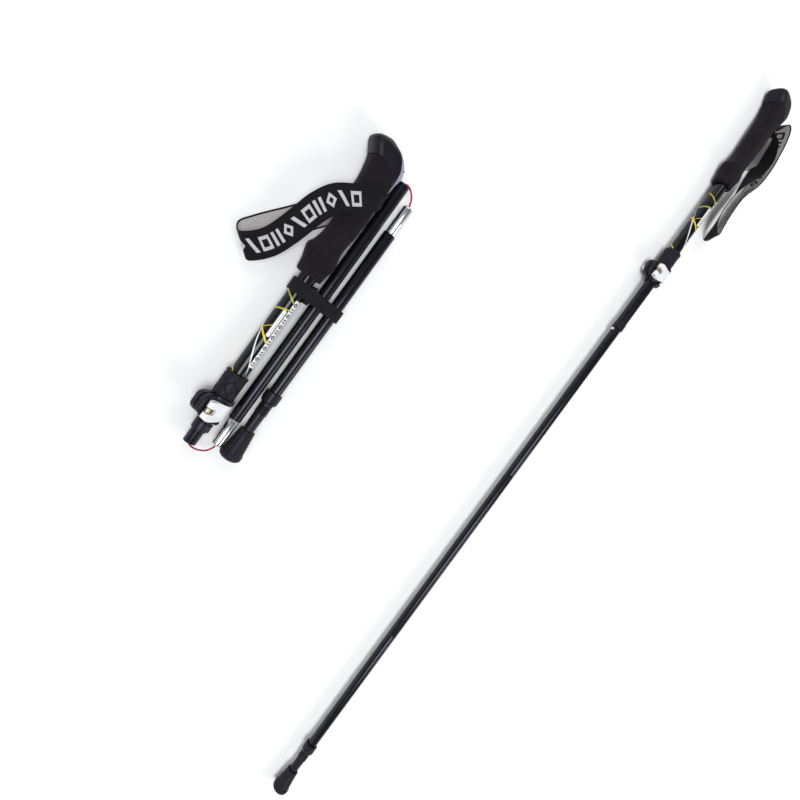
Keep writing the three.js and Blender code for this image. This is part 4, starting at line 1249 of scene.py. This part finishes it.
def packing_band(pole):
    """The elastic band round the handle and the folded sections, with its fastener's tab."""
    def arc(radius, y, start, swept):
        return [
            (radius * cos(a), y + radius * sin(a))
            for a in (start + swept * i / 32 for i in range(33))
        ]

    def between(a, b):
        return [
            (a[0] * (1 - t) + b[0] * t, a[1] * (1 - t) + b[1] * t) for t in (0.25, 0.5, 0.75)
        ]

    def outline(grow):
        """(z, y) round the handle's tube and section C, this far out from both."""
        small, large = THIN_RADII[1] + grow, UPPER_RADII[1] + grow
        lean = asin((large - small) / -C_Y)
        upper = arc(large, 0.0, -lean, pi + 2 * lean)
        lower = arc(small, C_Y, pi + lean, pi - 2 * lean)
        return upper + between(upper[-1], lower[0]) + lower + between(lower[-1], upper[0])

    inner, outer = outline(0.5), outline(2.7)
    walked = distances([Vector(p) for p in outer + outer[:1]])
    shape = [  # (x, share of the thickness)
        (-21.7, 0.25), (-21.7, 0.75), (-21.3, 0.97), (-18.0, 1.0), (-14.7, 1.02), (-11.4, 1.0),
        (-8.1, 0.97), (-7.7, 0.75), (-7.7, 0.25), (-8.1, 0.03), (-14.7, 0.0), (-21.3, 0.03),
    ]
    rows = [
        [(x, y0 + (y1 - y0) * t, z0 + (z1 - z0) * t) for x, t in shape]
        for (z0, y0), (z1, y1) in zip(inner, outer)
    ]

    def surf(i, k):
        return (shape[k % len(shape)][0] + 14.7, walked[i], 0.0)

    band = pole.solid("elastic_band", *grid(rows, True, surf))
    pole.finish(band, "band_elastic", "packing_band", body="band")
    # The tab stands on edge between the handle and the middle section.
    tab, *_measures = pole.ribbon("fastener_tab", [
        (-14.6, -12.6, -8.6, 1, 0, 0, 10.3), (-14.6, -13.4, -4, 1, 0, 0, 10.4),
        (-14.6, -13.5, 0, 1, 0, 0, 10.4), (-14.6, -13.4, 4, 1, 0, 0, 10.4),
        (-14.6, -12.6, 8.6, 1, 0, 0, 10.3),
    ], 24, 1.6)
    pole.finish(tab, "band_elastic", body="band")


# ---- the two poles
def add_handle(pole, stations, sides, pattern_from):
    grip_foam(pole)
    head_skin(pole, "head_shell", "head_black", "grip_head", False)
    head_skin(pole, "grey_insert", "insert_grey", "head_insert", True)
    strap_pin(pole)
    route = stations, 230, 28, "gathered", sides, pattern_from
    strap(pole, "webbing_strap", "wrist_strap", *route)
    if pole.prefix == "extended":
        strap(pole, "webbing_tail", "strap_tail", STRAP_TAIL, 40, 22.4, "hung")
    turn = -radians(20)  # the print lies this much towards +y from straight up
    tube = pole.pipe("printed_tube", UPPER_LOW, UPPER_HIGH, UPPER_RADII, 96, IDENTITY, 0.35, turn)
    pole.finish(tube, "upper_tube_print", "upper_tube")
    for part in (clamp_body, clamp_boot, clamp_fittings, clamp_lever):
        part(pole)


def add_folded():
    pole = Pole("folded", 1.0)
    add_handle(pole, FOLDED_STRAP, (0.0, 1.0), 62.0)
    telescope(pole, 0, 0, 6.9, "sleeve", "tension", "tension")
    place = Matrix.Translation((-164.6, B_Y, 0))
    section(pole, "middle", "b", B_LENGTH, 33.8, "section_b", place)
    place = Matrix.Translation((88.1, C_Y, 0)) @ Matrix.Rotation(pi, 4, "Z")
    lower_end(pole, "section_c", place)
    cord_links(pole)
    packing_band(pole)


def add_extended():
    pole = Pole("extended", 7.0)
    add_handle(pole, EXTENDED_STRAP, (2.0, 0.0), 246.0)
    mouth = -533.0
    telescope(pole, -71.3, mouth - TENSION_MOUTH, 9.7, "lower", "lower", "button")
    back = Matrix.Rotation(pi, 4, "Z")
    start = mouth - JOIN_GAP
    place = Matrix.Translation((start, 0, 0)) @ back
    section(pole, "middle", "b", B_LENGTH, 33.8, "lower", place)
    place = Matrix.Translation((start - B_LENGTH - JOIN_GAP, 0, 0)) @ back
    lower_end(pole, "lower", place)


def dress_cad_nodes():
    """The CAD nodes that stay get their slot's full material."""
    for part in frame["record"]["subparts"]:
        materials = frame["nodes"][part["node"]].data.materials
        materials.clear()
        materials.append(MATERIALS[part["material_slot"]])


def add_floor():
    """A wide flat floor, level with the poles' lowest point, that curves up into a far wall."""
    flat, curve, height, sides = 12.0, 5.0, 9.4, 96
    outline = [(0.02, 0.0), (1.0, 0.0), (5.0, 0.0), (flat, 0.0)]
    for i in range(1, 13):
        turn = pi / 2 * i / 12
        outline.append((flat + curve * sin(turn), curve * (1 - cos(turn))))
    outline.append((flat + curve, height))
    angles = circle(sides)
    rows = [
        [Vector((r * cos(a), r * sin(a), z)) / MM for a in angles] for r, z in outline
    ]
    points, faces, _values = grid(rows)
    faces.append(tuple(range(sides)))
    level = Vector((0, 0, cad_box[0][2]))
    floor = mesh_object("studio_floor", points, faces, None, IDENTITY, level)
    floor.data.materials.append(floor_material())


add_camera()
add_lights()
add_floor()
dress_cad_nodes()
add_folded()
add_extended()
